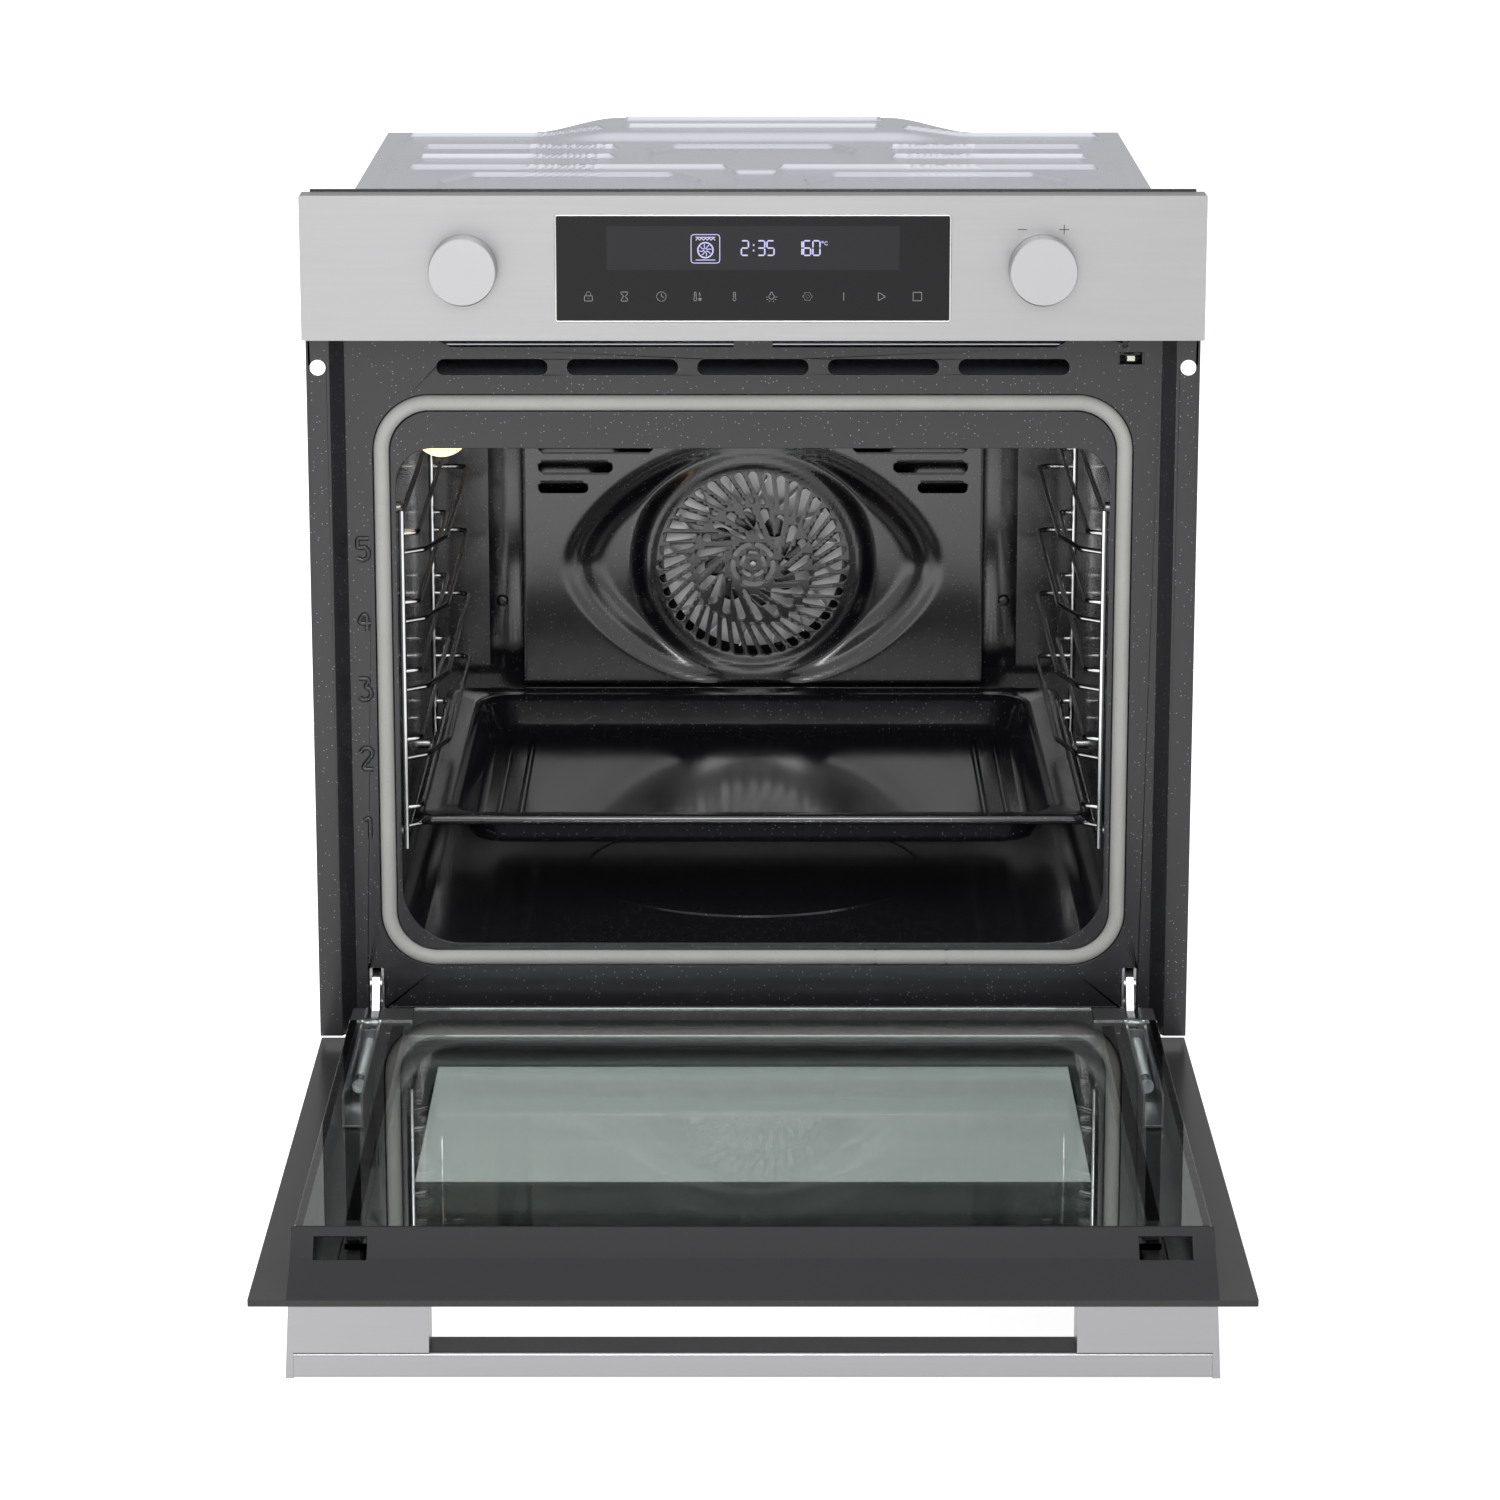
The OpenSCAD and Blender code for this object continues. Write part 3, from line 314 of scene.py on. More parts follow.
def glass_fibre(name, colour):
    """Braided glass-fibre yarn."""
    g = Graph(name)
    yarn = g.noise(1500, 4.0)
    stain = g.noise(16, 4.0)
    tone = yarn * 0.55 + stain * 0.45
    return g.finish(g.shade(
        Base_Color=g.blend(tone, [c * 0.62 for c in colour], [min(1, c * 1.2) for c in colour]),
        Roughness=0.72,
        Normal=g.bump(yarn, 0.6, 0.4 * MM),
    ))


def clear_glass(name, tint):
    """Clear pane."""
    g = Graph(name)
    return g.finish(g.shade(
        Base_Color=tint, Roughness=0.0, Transmission_Weight=1.0, IOR=1.5,
    ))


def glow(name, colour, strength):
    """Lit marks and the lamp's filament."""
    g = Graph(name)
    flicker = g.noise(200, 2.0)
    return g.finish(g.shade(
        Base_Color=(0.05, 0.05, 0.06),
        Emission_Color=g.blend(flicker, [c * 0.92 for c in colour], colour),
        Emission_Strength=strength,
        Roughness=0.4,
    ))


# ---- Mesh helpers ----


def dress(node, material, edge=0.0, steps=2, angle=35.0):
    """Gives a CAD node its finish, soft edges and smooth round faces."""
    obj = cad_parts[node]
    obj.data.materials.clear()
    obj.data.materials.append(material)
    weld = obj.modifiers.new("weld", "WELD")
    weld.merge_threshold = 1e-6
    if edge:
        bevel = obj.modifiers.new("soft edges", "BEVEL")
        bevel.width = edge
        bevel.segments = steps
        bevel.limit_method = "ANGLE"
        bevel.angle_limit = math.radians(angle)
    for face in obj.data.polygons:
        face.use_smooth = True
    edge_split(obj, max(angle, 50.0) if edge else angle)
    flat_faces(obj)
    return obj


def flat_faces(obj):
    """Lets the large faces set the shading, so that flat sheets stay flat."""
    obj.modifiers.new("flat faces", "WEIGHTED_NORMAL").weight = 60


def edge_split(obj, angle):
    """Keeps real corners sharp while round faces shade smooth."""
    split = obj.modifiers.new("sharp corners", "EDGE_SPLIT")
    split.split_angle = math.radians(angle)


def place(name, bm, material, body, smooth=True, angle=35.0):
    """Turns a bmesh into a piece that rides on a body."""
    bmesh.ops.remove_doubles(bm, verts=bm.verts, dist=1e-7)
    bmesh.ops.recalc_face_normals(bm, faces=bm.faces)
    mesh = bpy.data.meshes.new(name)
    bm.to_mesh(mesh)
    bm.free()
    mesh.materials.append(material)
    obj = bpy.data.objects.new(name, mesh)
    bpy.context.scene.collection.objects.link(obj)
    if smooth:
        for face in mesh.polygons:
            face.use_smooth = True
        edge_split(obj, angle)
    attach(obj, body)
    return obj


def box(bm, low, high, edge):
    """A box between two corners, with rounded edges."""
    low, high = Vector(low), Vector(high)
    made = bmesh.ops.create_cube(bm, size=1.0)["verts"]
    bmesh.ops.scale(bm, vec=high - low, verts=made)
    bmesh.ops.translate(bm, vec=(low + high) / 2, verts=made)
    edges = list({e for v in made for e in v.link_edges})
    bmesh.ops.bevel(bm, geom=edges, offset=edge, segments=2, profile=0.5, affect="EDGES",
                    material=-1)


def turned(bm, outline, centre, axis, side, steps):
    """Spins an outline of (radius, height) pairs into a closed round shape."""
    centre, axis, side = Vector(centre), Vector(axis), Vector(side)
    verts = [bm.verts.new(centre + side * r + axis * h) for r, h in outline]
    edges = [bm.edges.new(pair) for pair in zip(verts, verts[1:])]
    bmesh.ops.spin(bm, geom=verts + edges, cent=centre, axis=axis, angle=math.tau, steps=steps,
                   use_merge=True)
    bmesh.ops.remove_doubles(bm, verts=bm.verts, dist=1e-6)


def rounded(points, bend, closed=False, steps=6):
    """A path through points with round bends."""
    points = [Vector(p) for p in points]
    count = len(points)
    path = [] if closed else [points[0]]
    for i in range(0 if closed else 1, count if closed else count - 1):
        before, here, after = points[i - 1], points[i], points[(i + 1) % count]
        back, ahead = (before - here), (after - here)
        half = back.angle(ahead) / 2
        reach = min(bend / math.tan(half), back.length * 0.49, ahead.length * 0.49)
        start, end = here + back.normalized() * reach, here + ahead.normalized() * reach
        radius = reach * math.tan(half)
        middle = here + (back.normalized() + ahead.normalized()).normalized() * (
            radius / math.sin(half))
        a, b = start - middle, end - middle
        for k in range(steps + 1):
            path.append(middle + a.slerp(b, k / steps) * radius)
    if not closed:
        path.append(points[-1])
    return path


def stepped(path, step, closed=False):
    """The same path with a point about every step."""
    out = []
    pairs = zip(path, path[1:] + path[:1]) if closed else zip(path, path[1:])
    for a, b in pairs:
        count = max(1, round((b - a).length / step))
        out += [a.lerp(b, k / count) for k in range(count)]
    return out if closed else [*out, path[-1]]


def sweep(bm, path, radius, sides, closed=False):
    """Bends a straight tube, cut into rings, along a path; returns its vertices ring by ring."""
    count = len(path)
    frames = []
    turn = None
    for i, point in enumerate(path):
        ahead = path[(i + 1) % count] if closed or i < count - 1 else point
        behind = path[i - 1] if closed or i else point
        along = (ahead - behind).normalized()
        if turn is None:
            turn = Vector((0, 0, 1)).rotation_difference(along)
        else:
            turn = last.rotation_difference(along) @ turn
        last = along
        frames.append(Matrix.Translation(point) @ turn.to_matrix().to_4x4())
    earlier = len(bm.verts)
    tube = bmesh.ops.create_cone(bm, cap_ends=not closed, segments=sides, radius1=radius,
                                 radius2=radius, depth=count - 1)["verts"]
    edges = {e for v in tube for e in v.link_edges}
    edges = [e for e in edges if abs(e.verts[0].co.z - e.verts[1].co.z) > 0.5]
    if count > 2:
        bmesh.ops.subdivide_edges(bm, edges=edges, cuts=count - 2)
    rings = [[] for _ in path]
    for vert in list(bm.verts)[earlier:]:
        i = round(vert.co.z + (count - 1) / 2)
        rings[i].append((math.atan2(vert.co.y, vert.co.x), vert))
        vert.co = frames[i] @ Vector((vert.co.x, vert.co.y, 0))
    rings = [[v for _, v in sorted(ring, key=lambda item: item[0])] for ring in rings]
    if closed:
        ends = [e for ring in (rings[0], rings[-1]) for v in ring for e in v.link_edges
                if all(w in ring for w in e.verts)]
        bmesh.ops.bridge_loops(bm, edges=list(set(ends)))
    return rings


def smooth_step(low, high, value):
    """0 below low, 1 above high, with a soft curve between."""
    t = min(1.0, max(0.0, (value - low) / (high - low)))
    return t * t * (3 - 2 * t)


def prism(bm, outline, low, high):
    """An outline of (x, z) pairs, given thickness from y = low to y = high."""
    face = bm.faces.new([bm.verts.new((x, low, z)) for x, z in outline])
    made = bmesh.ops.extrude_face_region(bm, geom=[face])["geom"]
    verts = [v for v in made if isinstance(v, bmesh.types.BMVert)]
    bmesh.ops.translate(bm, vec=(0, high - low, 0), verts=verts)


def capsule(a, b, r_a, r_b, steps=7):
    """Outline of a slot with round ends of two radii."""
    turn = math.atan2(b[1] - a[1], b[0] - a[0])
    lean = math.asin((r_a - r_b) / math.dist(a, b))
    points = []
    for (x, z), r, start, span in ((b, r_b, lean - math.pi / 2, math.pi - 2 * lean),
                                   (a, r_a, math.pi / 2 - lean, math.pi + 2 * lean)):
        for k in range(steps + 1):
            angle = turn + start + span * k / steps
            points.append((x + r * math.cos(angle), z + r * math.sin(angle)))
    return points


def arc_slot(centre, radius, half, start, span, steps=10):
    """Outline of a slot bent round a centre, with round ends."""
    def at(angle, r, about=centre):
        return (about[0] + r * math.cos(angle), about[1] + r * math.sin(angle))

    points = [at(start + span * k / steps, radius + half) for k in range(steps + 1)]
    tip = at(start + span, radius)
    points += [at(start + span + math.pi * k / 6, half, tip) for k in range(1, 6)]
    points += [at(start + span * (1 - k / steps), radius - half) for k in range(steps + 1)]
    tip = at(start, radius)
    points += [at(start + math.pi + math.pi * k / 6, half, tip) for k in range(1, 6)]
    return points


def rounded_ring(half_x, half_y, radius, centre, z, steps=8):
    """Points of a rounded rectangle lying flat at height z."""
    points = []
    for i, (sx, sy) in enumerate(((1, 1), (-1, 1), (-1, -1), (1, -1))):
        for k in range(steps + 1):
            angle = math.pi / 2 * (i + k / steps)
            points.append(Vector((centre[0] + sx * (half_x - radius) + radius * math.cos(angle),
                                  centre[1] + sy * (half_y - radius) + radius * math.sin(angle), z)))
    return points


def loft(bm, rings):
    """Extrudes a closed outline through rings with equally many points and caps the last."""
    verts = [bm.verts.new(p) for p in rings[0]]
    edges = [bm.edges.new((a, b)) for a, b in zip(verts, verts[1:] + verts[:1])]
    for ring in rings[1:]:
        order = {v: i for i, v in enumerate(verts)}
        made = bmesh.ops.extrude_edge_only(bm, edges=edges)["geom"]
        edges = [e for e in made if isinstance(e, bmesh.types.BMEdge)]
        for vert in (v for v in made if isinstance(v, bmesh.types.BMVert)):
            i = next(order[e.other_vert(vert)] for e in vert.link_edges
                     if e.other_vert(vert) in order)
            verts[i] = vert
            vert.co = ring[i]
    bm.faces.new(verts)


def evaluated(obj):
    """The object's mesh with its modifiers applied, which are then removed."""
    graph = bpy.context.evaluated_depsgraph_get()
    graph.update()
    made = bpy.data.meshes.new_from_object(obj.evaluated_get(graph))
    obj.modifiers.clear()
    obj.data = made
    return obj


def carve(obj, cutters):
    """Cuts the cutters' shapes out of a closed mesh."""
    bmesh.ops.recalc_face_normals(cutters, faces=cutters.faces)
    mesh = bpy.data.meshes.new("cutters")
    cutters.to_mesh(mesh)
    cutters.free()
    tool = bpy.data.objects.new("cutters", mesh)
    bpy.context.scene.collection.objects.link(tool)
    boolean = obj.modifiers.new("cut", "BOOLEAN")
    boolean.object = tool
    boolean.operation = "DIFFERENCE"
    boolean.solver = "MANIFOLD"
    evaluated(obj)
    bpy.data.objects.remove(tool)


def height_grid(bm, columns, rows, shape):
    """A grid whose vertices go where shape(u, v) says, for u and v from 0 to 1."""
    bmesh.ops.create_grid(bm, x_segments=columns, y_segments=rows, size=0.5)
    for vert in bm.verts:
        vert.co = shape(vert.co.x + 0.5, vert.co.y + 0.5)


# ---- Marks drawn as thin strokes ----


def circle_line(x, z, r, start=0.0, span=360.0, steps=24):
    angles = [math.radians(start + span * k / steps) for k in range(steps + 1)]
    return [(x + r * math.cos(a), z + r * math.sin(a)) for a in angles]


def strokes(bm, lines, width, y, thick):
    """Thin raised strokes along lines of (x, z) pairs on a plane facing -Y."""
    for line in lines:
        for a, b in zip(line, line[1:]):
            if math.dist(a, b) > 1e-7:
                prism(bm, capsule(a, b, width / 2, width / 2, 3), y - thick, y)


SEGMENTS = {"0": "abcdef", "1": "bc", "2": "abged", "3": "abgcd", "5": "afgcd", "6": "afgedc"}


def seven_segments(digit, x, z, w, h):
    """Lines of a seven-segment digit whose lower left corner is at x, z."""
    gap = 0.16 * w
    middle = z + h / 2
    places = {
        "a": [(x + gap, z + h), (x + w - gap, z + h)],
        "b": [(x + w, middle + gap), (x + w, z + h - gap)],
        "c": [(x + w, z + gap), (x + w, middle - gap)],
        "d": [(x + gap, z), (x + w - gap, z)],
        "e": [(x, z + gap), (x, middle - gap)],
        "f": [(x, middle + gap), (x, z + h - gap)],
        "g": [(x + gap, middle), (x + w - gap, middle)]}
    return [places[segment] for segment in SEGMENTS[digit]]


# ---- Operators: one for each piece or group ----


class OvenSizes(bpy.types.PropertyGroup):
    """Sizes a user would change."""

    wire: bpy.props.FloatProperty(
        name="Rack wire", description="Radius of the rack's upright wires", default=2.2 * MM,
        unit="LENGTH")
    rib: bpy.props.FloatProperty(
        name="Gasket rib", description="Pitch of the ribs along the braided gasket",
        default=1.7 * MM, unit="LENGTH")


class OvenColours(bpy.types.PropertyGroup):
    """Colours a user would change."""

    steel: bpy.props.FloatVectorProperty(
        name="Steel", description="Brushed steel of the control panel",
        default=(0.335, 0.335, 0.34), size=3, subtype="COLOR")
    enamel: bpy.props.FloatVectorProperty(
        name="Enamel", description="Dark enamel of the front frame",
        default=(0.007, 0.007, 0.0085), size=3, subtype="COLOR")


def finish_of(name, make, *args, **kwargs):
    """The material of that name, made the first time that it is asked for."""
    return bpy.data.materials.get(name) or make(name, *args, **kwargs)


def sheet_metal():
    return finish_of("galvanised sheet", galvanised, (0.52, 0.53, 0.575))


def case_metal():
    return finish_of("case sheet", galvanised, (0.36, 0.37, 0.4))


def frame_enamel():
    colour = tuple(bpy.context.scene.oven_colours.enamel)
    return finish_of("grey enamel", enamel, colour, 0.32, 0.25)


def cavity_enamel():
    return finish_of("black enamel", enamel, (0.007, 0.007, 0.009), 0.2, 0.9)


def panel_steel():
    return finish_of("brushed steel", brushed, tuple(bpy.context.scene.oven_colours.steel), 0.36)


def zinc():
    return finish_of("zinc plate", satin_metal, (0.5, 0.5, 0.51), 0.35)


def black_plastic():
    return finish_of("black plastic", plastic, (0.02, 0.02, 0.022))


def bright_wire():
    return finish_of("chrome wire", chrome)


class OVEN_OT_case(bpy.types.Operator):
    """Finish the case sheets, the hidden fittings and the screws"""

    bl_idname = "oven.case"
    bl_label = "Case"

    def execute(self, context):
        for node in ("base_plate", "side_panel_left", "side_panel_right", "rear_panel"):
            dress(node, case_metal(), 0.3 * MM)
        dress("air_duct", case_metal())
        dress("blower_housing", case_metal())
        dress("insulation", finish_of("mineral wool", wool, (0.62, 0.56, 0.4)))
        for node in ("display_module", "cable_gland", "door_switch", "blower_rotor"):
            dress(node, black_plastic(), 0.2 * MM)
        pale = finish_of("pale plastic", plastic, (0.62, 0.6, 0.55))
        for node in ("terminal_block", "switch_lever"):
            dress(node, pale, 0.5 * MM)
        dress("control_board", finish_of("circuit board", plastic, (0.02, 0.12, 0.04), 0.35))
        core = finish_of("motor steel", satin_metal, (0.25, 0.27, 0.3), 0.5)
        for node in ("fan_motor", "blower_motor"):
            dress(node, core, 0.5 * MM)
        for node in ("lamp_housing", "rack_studs", "temperature_probe", "fan_shaft", "fan_nut",
                     "hinge_receivers", "hinge_arms"):
            dress(node, zinc(), 0.15 * MM)
        black = finish_of("black screws", satin_metal, (0.03, 0.03, 0.03), 0.35)
        dress("case_screws", black, 0.4 * MM)
        return {"FINISHED"}


class OVEN_OT_top_cover(bpy.types.Operator):
    """Make the top cover with its pressed ribs and panels"""

    bl_idname = "oven.top_cover"
    bl_label = "Top cover"

    def execute(self, context):
        low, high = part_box("top_cover")
        half_x, front = high.x, low.y
        back = MM - front

        def sheet_point(u, v):
            x = (2 * u - 1) * half_x
            hump = smooth_step(-169 * MM, -104 * MM, -abs(x))
            end = back + (high.y - back) * hump
            y = front + v * (end - front)
            rise = (high.z - 1.8 * MM - TOP_Z) * hump * smooth_step(0.425, 0.445, y - front)
            return Vector((x, y, TOP_Z + rise + self.pressed(x, y - front)))

        bm = bmesh.new()
        height_grid(bm, 248, 196, sheet_point)
        rim = [e for e in bm.edges if e.is_boundary]
        made = bmesh.ops.extrude_edge_only(bm, edges=rim)["geom"]
        for vert in (v for v in made if isinstance(v, bmesh.types.BMVert)):
            if vert.co.y > front + MM:
                vert.co.z = TOP_Z - 14 * MM
            else:
                vert.co.z -= 1.0 * MM
        cover = place("top_cover_sheet", bm, sheet_metal(), "chassis", angle=50)
        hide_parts("top_cover")
        return {"FINISHED"}

    @staticmethod
    def pressed(x, y):
        """Height of the pressing over the flat sheet; y runs back from the front edge."""
        x, y = x / MM, y / MM
        side = abs(x)
        # Ribs: from and to this far from the middle, distance from the front, half width
        ribs = (
            (117, 258, 463, 3.6), (0, 97, 513, 3.2), (0, 94, 470, 3.2), (104, 242, 394, 3.4),
            (104, 242, 339, 3.4), (22, 245, 280, 3.6))
        height = 0.0
        for x0, x1, at, half in ribs:
            along = max(x0 - side if x0 else 0.0, side - x1, 0.0)
            height = max(height, 3.2 * (1 - smooth_step(-2.6, 0.8, math.hypot(along, y - at) - half)))
        # Sunk panels and a groove: distance inside each one's outline
        panels = (
            min(y - 40, 260 - y, 222 - side, side - 38, (side - 38) * 0.86 + (260 - y) * 0.5 - 18,
                (222 - side) * 0.85 + (260 - y) * 0.53 - 19),
            min(y - 318, 416 - y, 76 - side, (76 - side) * 0.85 + (416 - y) * 0.52 - 15),
            min(y - 193, 272 - y, 15 - abs(x - 2)),
            min(y - 20, 452 - y, 2.4 - abs(side - 262)))
        depth = max(3.0 * smooth_step(-1.8, 1.8, inside) for inside in panels[:3])
        return (height - depth - 1.2 * smooth_step(-1.4, 1.4, panels[3])) * MM


TOP_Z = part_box("rear_panel")[1].z + 1 * MM


class OVEN_OT_front(bpy.types.Operator):
    """Finish the front frame, the control panel and the knobs"""

    bl_idname = "oven.front"
    bl_label = "Front"

    def execute(self, context):
        dress("front_frame", frame_enamel(), 0.5 * MM)
        dress("control_panel", panel_steel(), 0.35 * MM)
        knob = finish_of("satin aluminium", satin_metal, (0.365, 0.365, 0.375), 0.45, 0.03)
        for node in ("knob_left", "knob_right"):
            dress(node, knob, 0.6 * MM, 3)
        dress("display_glass", finish_of("display glass", display_glass))
        return {"FINISHED"}


class OVEN_OT_marks(bpy.types.Operator):
    """Draw the lit display, the touch symbols and the knob's marks"""

    bl_idname = "oven.marks"
    bl_label = "Marks"

    def execute(self, context):
        z = (DISPLAY[0].z + DISPLAY[1].z) / 2
        y = DISPLAY[0].y
        bm = bmesh.new()
        strokes(bm, scaled(self.mode_icon(), -31.2, 13.0, z), 0.55 * MM, y, 0.06 * MM)
        digits = []
        for mark, x in (("2", -7.6), ("3", 3.1), ("5", 9.2), ("1", 27.5), ("6", 33.2), ("0", 39.3)):
            digits += seven_segments(mark, x, 8.7, 4.6, 9.6)
        digits += [[(0.4, 11.6), (0.4, 12.1)], [(0.4, 15.2), (0.4, 15.7)]]
        strokes(bm, scaled(digits, 0, 0, z), 0.95 * MM, y, 0.06 * MM)
        unit = [circle_line(45.6, 17.4, 0.55), circle_line(48.1, 16.6, 1.1, 50, 260)]
        strokes(bm, scaled(unit, 0, 0, z), 0.45 * MM, y, 0.06 * MM)
        place("display_lit_marks", bm, finish_of("lit marks", glow, (0.6, 0.57, 0.95), 1.0),
              "chassis", smooth=False)
        bm = bmesh.new()
        for i, icon in enumerate(self.touch_icons()):
            x = (-108.2, -84.5, -60.2, -36.4, -12.2, 12.2, 35.8, 59.6, 84.3, 108.0)[i]
            strokes(bm, scaled(icon, x, -18.6, z), 0.32 * MM, y, 0.05 * MM)
        place("display_touch_marks", bm, finish_of("grey print", plastic, (0.2, 0.2, 0.205), 0.5),
              "chassis", smooth=False)
        bm = bmesh.new()
        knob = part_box("knob_right")
        x, top = (knob[0].x + knob[1].x) / 2, knob[1].z + 3.4 * MM
        lines = [[(x - 16.4 * MM, top), (x - 10.8 * MM, top)],
                 [(x + 10.8 * MM, top), (x + 16.8 * MM, top)],
                 [(x + 13.8 * MM, top - 3 * MM), (x + 13.8 * MM, top + 3 * MM)]]
        strokes(bm, lines, 0.6 * MM, PANEL_Y, 0.05 * MM)
        place("knob_marks", bm, finish_of("dark print", plastic, (0.03, 0.03, 0.03), 0.5),
              "chassis", smooth=False)
        bm = bmesh.new()
        low, high = DISPLAY
        corners = [(low.x, low.z), (high.x, low.z), (high.x, high.z), (low.x, high.z)]
        frame_path = rounded([(px, PANEL_Y - 0.1 * MM, pz) for px, pz in corners], 1.6 * MM, True)
        sweep(bm, frame_path, 0.7 * MM, 8, True)
        place("display_frame", bm, finish_of("bright edge", satin_metal, (0.5, 0.5, 0.5), 0.25),
              "chassis", angle=80)
        return {"FINISHED"}

    @staticmethod
    def mode_icon():
        """Rounded square with a grill bar, a fan in its circle and a lower bar."""
        zigzag = [(-6.2 + 1.24 * k, 6.2 + (0.9 if k % 2 else -0.5)) for k in range(11)]
        square = [(-9.4 * a, -9.4 * b) for a, b in (
            (0.8, 1), (-0.8, 1), (-0.95, 0.95), (-1, 0.8), (-1, -0.8), (-0.95, -0.95), (-0.8, -1),
            (0.8, -1), (0.95, -0.95), (1, -0.8), (1, 0.8), (0.95, 0.95), (0.8, 1))]
        blades = []
        for k in range(8):
            a = math.tau * k / 8
            blades.append([(1.0 * math.cos(a), 1.0 * math.sin(a) - 0.9),
                           (2.6 * math.cos(a + 0.35), 2.6 * math.sin(a + 0.35) - 0.9),
                           (3.9 * math.cos(a + 0.15), 3.9 * math.sin(a + 0.15) - 0.9)])
        return [square, zigzag, [(-6.3, 7.6), (6.3, 7.6)], [(-6.3, -7.4), (6.3, -7.4)],
                circle_line(0, -0.9, 5.2), circle_line(0, -0.9, 4.8), *blades]

    @staticmethod
    def touch_icons():
        """Lock, hourglass, clock, probe, thermometer, lamp, gear, divider, start and stop."""
        gear = []
        for k in range(49):
            a = math.tau * k / 48
            r = 3.1 if math.cos(6 * a) > 0.2 else 2.45
            gear.append((r * math.cos(a), r * math.sin(a)))
        rays = [[(math.cos(a) * r, math.sin(a) * r - 0.3) for r in (2.7, 3.5)]
                for a in (math.radians(d) for d in (-150, -115, -65, -30, 0, 180))]
        bulb = [(-0.6, 2.9), (-0.6, 1.7), (-1.7, 0.6), (-1.7, -0.6), (-0.8, -1.7), (0.8, -1.7),
                (1.7, -0.6), (1.7, 0.6), (0.6, 1.7), (0.6, 2.9), (-0.6, 2.9)]
        thermometer = [(-0.6, 2.9), (-0.6, -1.0), (-1.1, -2.0), (-0.6, -2.8), (0.6, -2.8), (1.1, -2.0),
                       (0.6, -1.0), (0.6, 2.9), (-0.6, 2.9)]
        probe = [[(x - 1.6, z) for x, z in thermometer],
                 [(1.4, 2.8), (0.8, 1.4), (1.9, 1.4), (1.2, 0.2)],
                 [(0.6, -1.2), (2.6, -2.4)], [(2.6, -1.2), (0.6, -2.4)], [(1.6, -0.8), (1.6, -2.9)]]
        return [
            [[(-2.6, 0.4), (2.6, 0.4), (2.6, -3), (-2.6, -3), (-2.6, 0.4)],
             [(-1.5, 0.4), *circle_line(0, 1.7, 1.5, 180, -180, 8), (1.5, 0.4)],
             [(-0.3, -1.3), (0.3, -1.3)]],
            [[(-2.2, 3), (2.2, 3), (2.2, 2), (0.5, 0), (2.2, -2), (2.2, -3), (-2.2, -3), (-2.2, -2),
              (-0.5, 0), (-2.2, 2), (-2.2, 3)]],
            [circle_line(0, 0, 3.1), [(0, 1.8), (0, 0), (1.5, -0.6)]],
            probe, [thermometer], [bulb, *rays], [gear, circle_line(0, 0, 1.1)],
            [[(0, 2.6), (0, -2.6)]], [[(-2, 2.8), (-2, -2.8), (2.8, 0), (-2, 2.8)]],
            [[(-2.8, 2.8), (2.8, 2.8), (2.8, -2.8), (-2.8, -2.8), (-2.8, 2.8)]]]


def scaled(lines, x, z, middle):
    """Lines in millimetres about a point of the display, as metres."""
    return [[((a + x) * MM, middle + (b + z) * MM) for a, b in line] for line in lines]


class OVEN_OT_levels(bpy.types.Operator):
    """Emboss the shelf levels' numbers beside the cavity"""

    bl_idname = "oven.levels"
    bl_label = "Level numbers"

    def execute(self, context):
        shapes = {
            "1": [(-2.5, 5), (1.5, 7.5), (1.5, -7.5)],
            "2": [(-4, 4.5), (-2.5, 7), (1.5, 7.5), (4, 5.5), (3.5, 2), (-4, -7.5), (4.4, -7.5)],
            "3": [(-4, 7.5), (4, 7.5), (-0.5, 1.5), (3.2, 0.3), (4.2, -3.5), (2, -7), (-2, -7.5),
                  (-4, -5.5)],
            "4": [(2, -7.5), (2, 7.5), (-4.4, -2.6), (4.6, -2.6)],
            "5": [(4, 7.5), (-3.4, 7.5), (-3.8, 0.6), (1.5, 1.6), (4, -1.5), (3.4, -6), (0, -7.6),
                  (-4, -6)]}
        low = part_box("rack_left")[0].z + 16 * MM
        bm = bmesh.new()
        for i, (_, line) in enumerate(sorted(shapes.items())):
            z = low + i * LEVEL_PITCH + 14.5 * MM
            points = [(LEVELS_X + x * MM, FACE_Y - 0.2 * MM, z + h * MM) for x, h in line]
            sweep(bm, rounded(points, 1.6 * MM, steps=3), 1.7 * MM, 12)
        place("level_numbers", bm, frame_enamel(), "chassis", angle=60)
        return {"FINISHED"}


FACE_Y = LINER[0].y - 1.2 * MM
LEVELS_X = -263 * MM


def display_glass(name):
    """Near-black glass with a slightly paler screen area."""
    g = Graph(name)
    x, _, z = g.axes()
    middle = (DISPLAY[0].z + DISPLAY[1].z) / 2 + 13.5 * MM
    screen = (abs(x) < 96 * MM) * (abs(z - middle) < 14.5 * MM)
    return g.finish(g.shade(
        Base_Color=g.blend(screen, (0.004, 0.004, 0.005), (0.011, 0.011, 0.0125)),
        Roughness=g.noise(40, 2.0) * 0.03 + 0.05,
        Specular_IOR_Level=0.22,
    ))


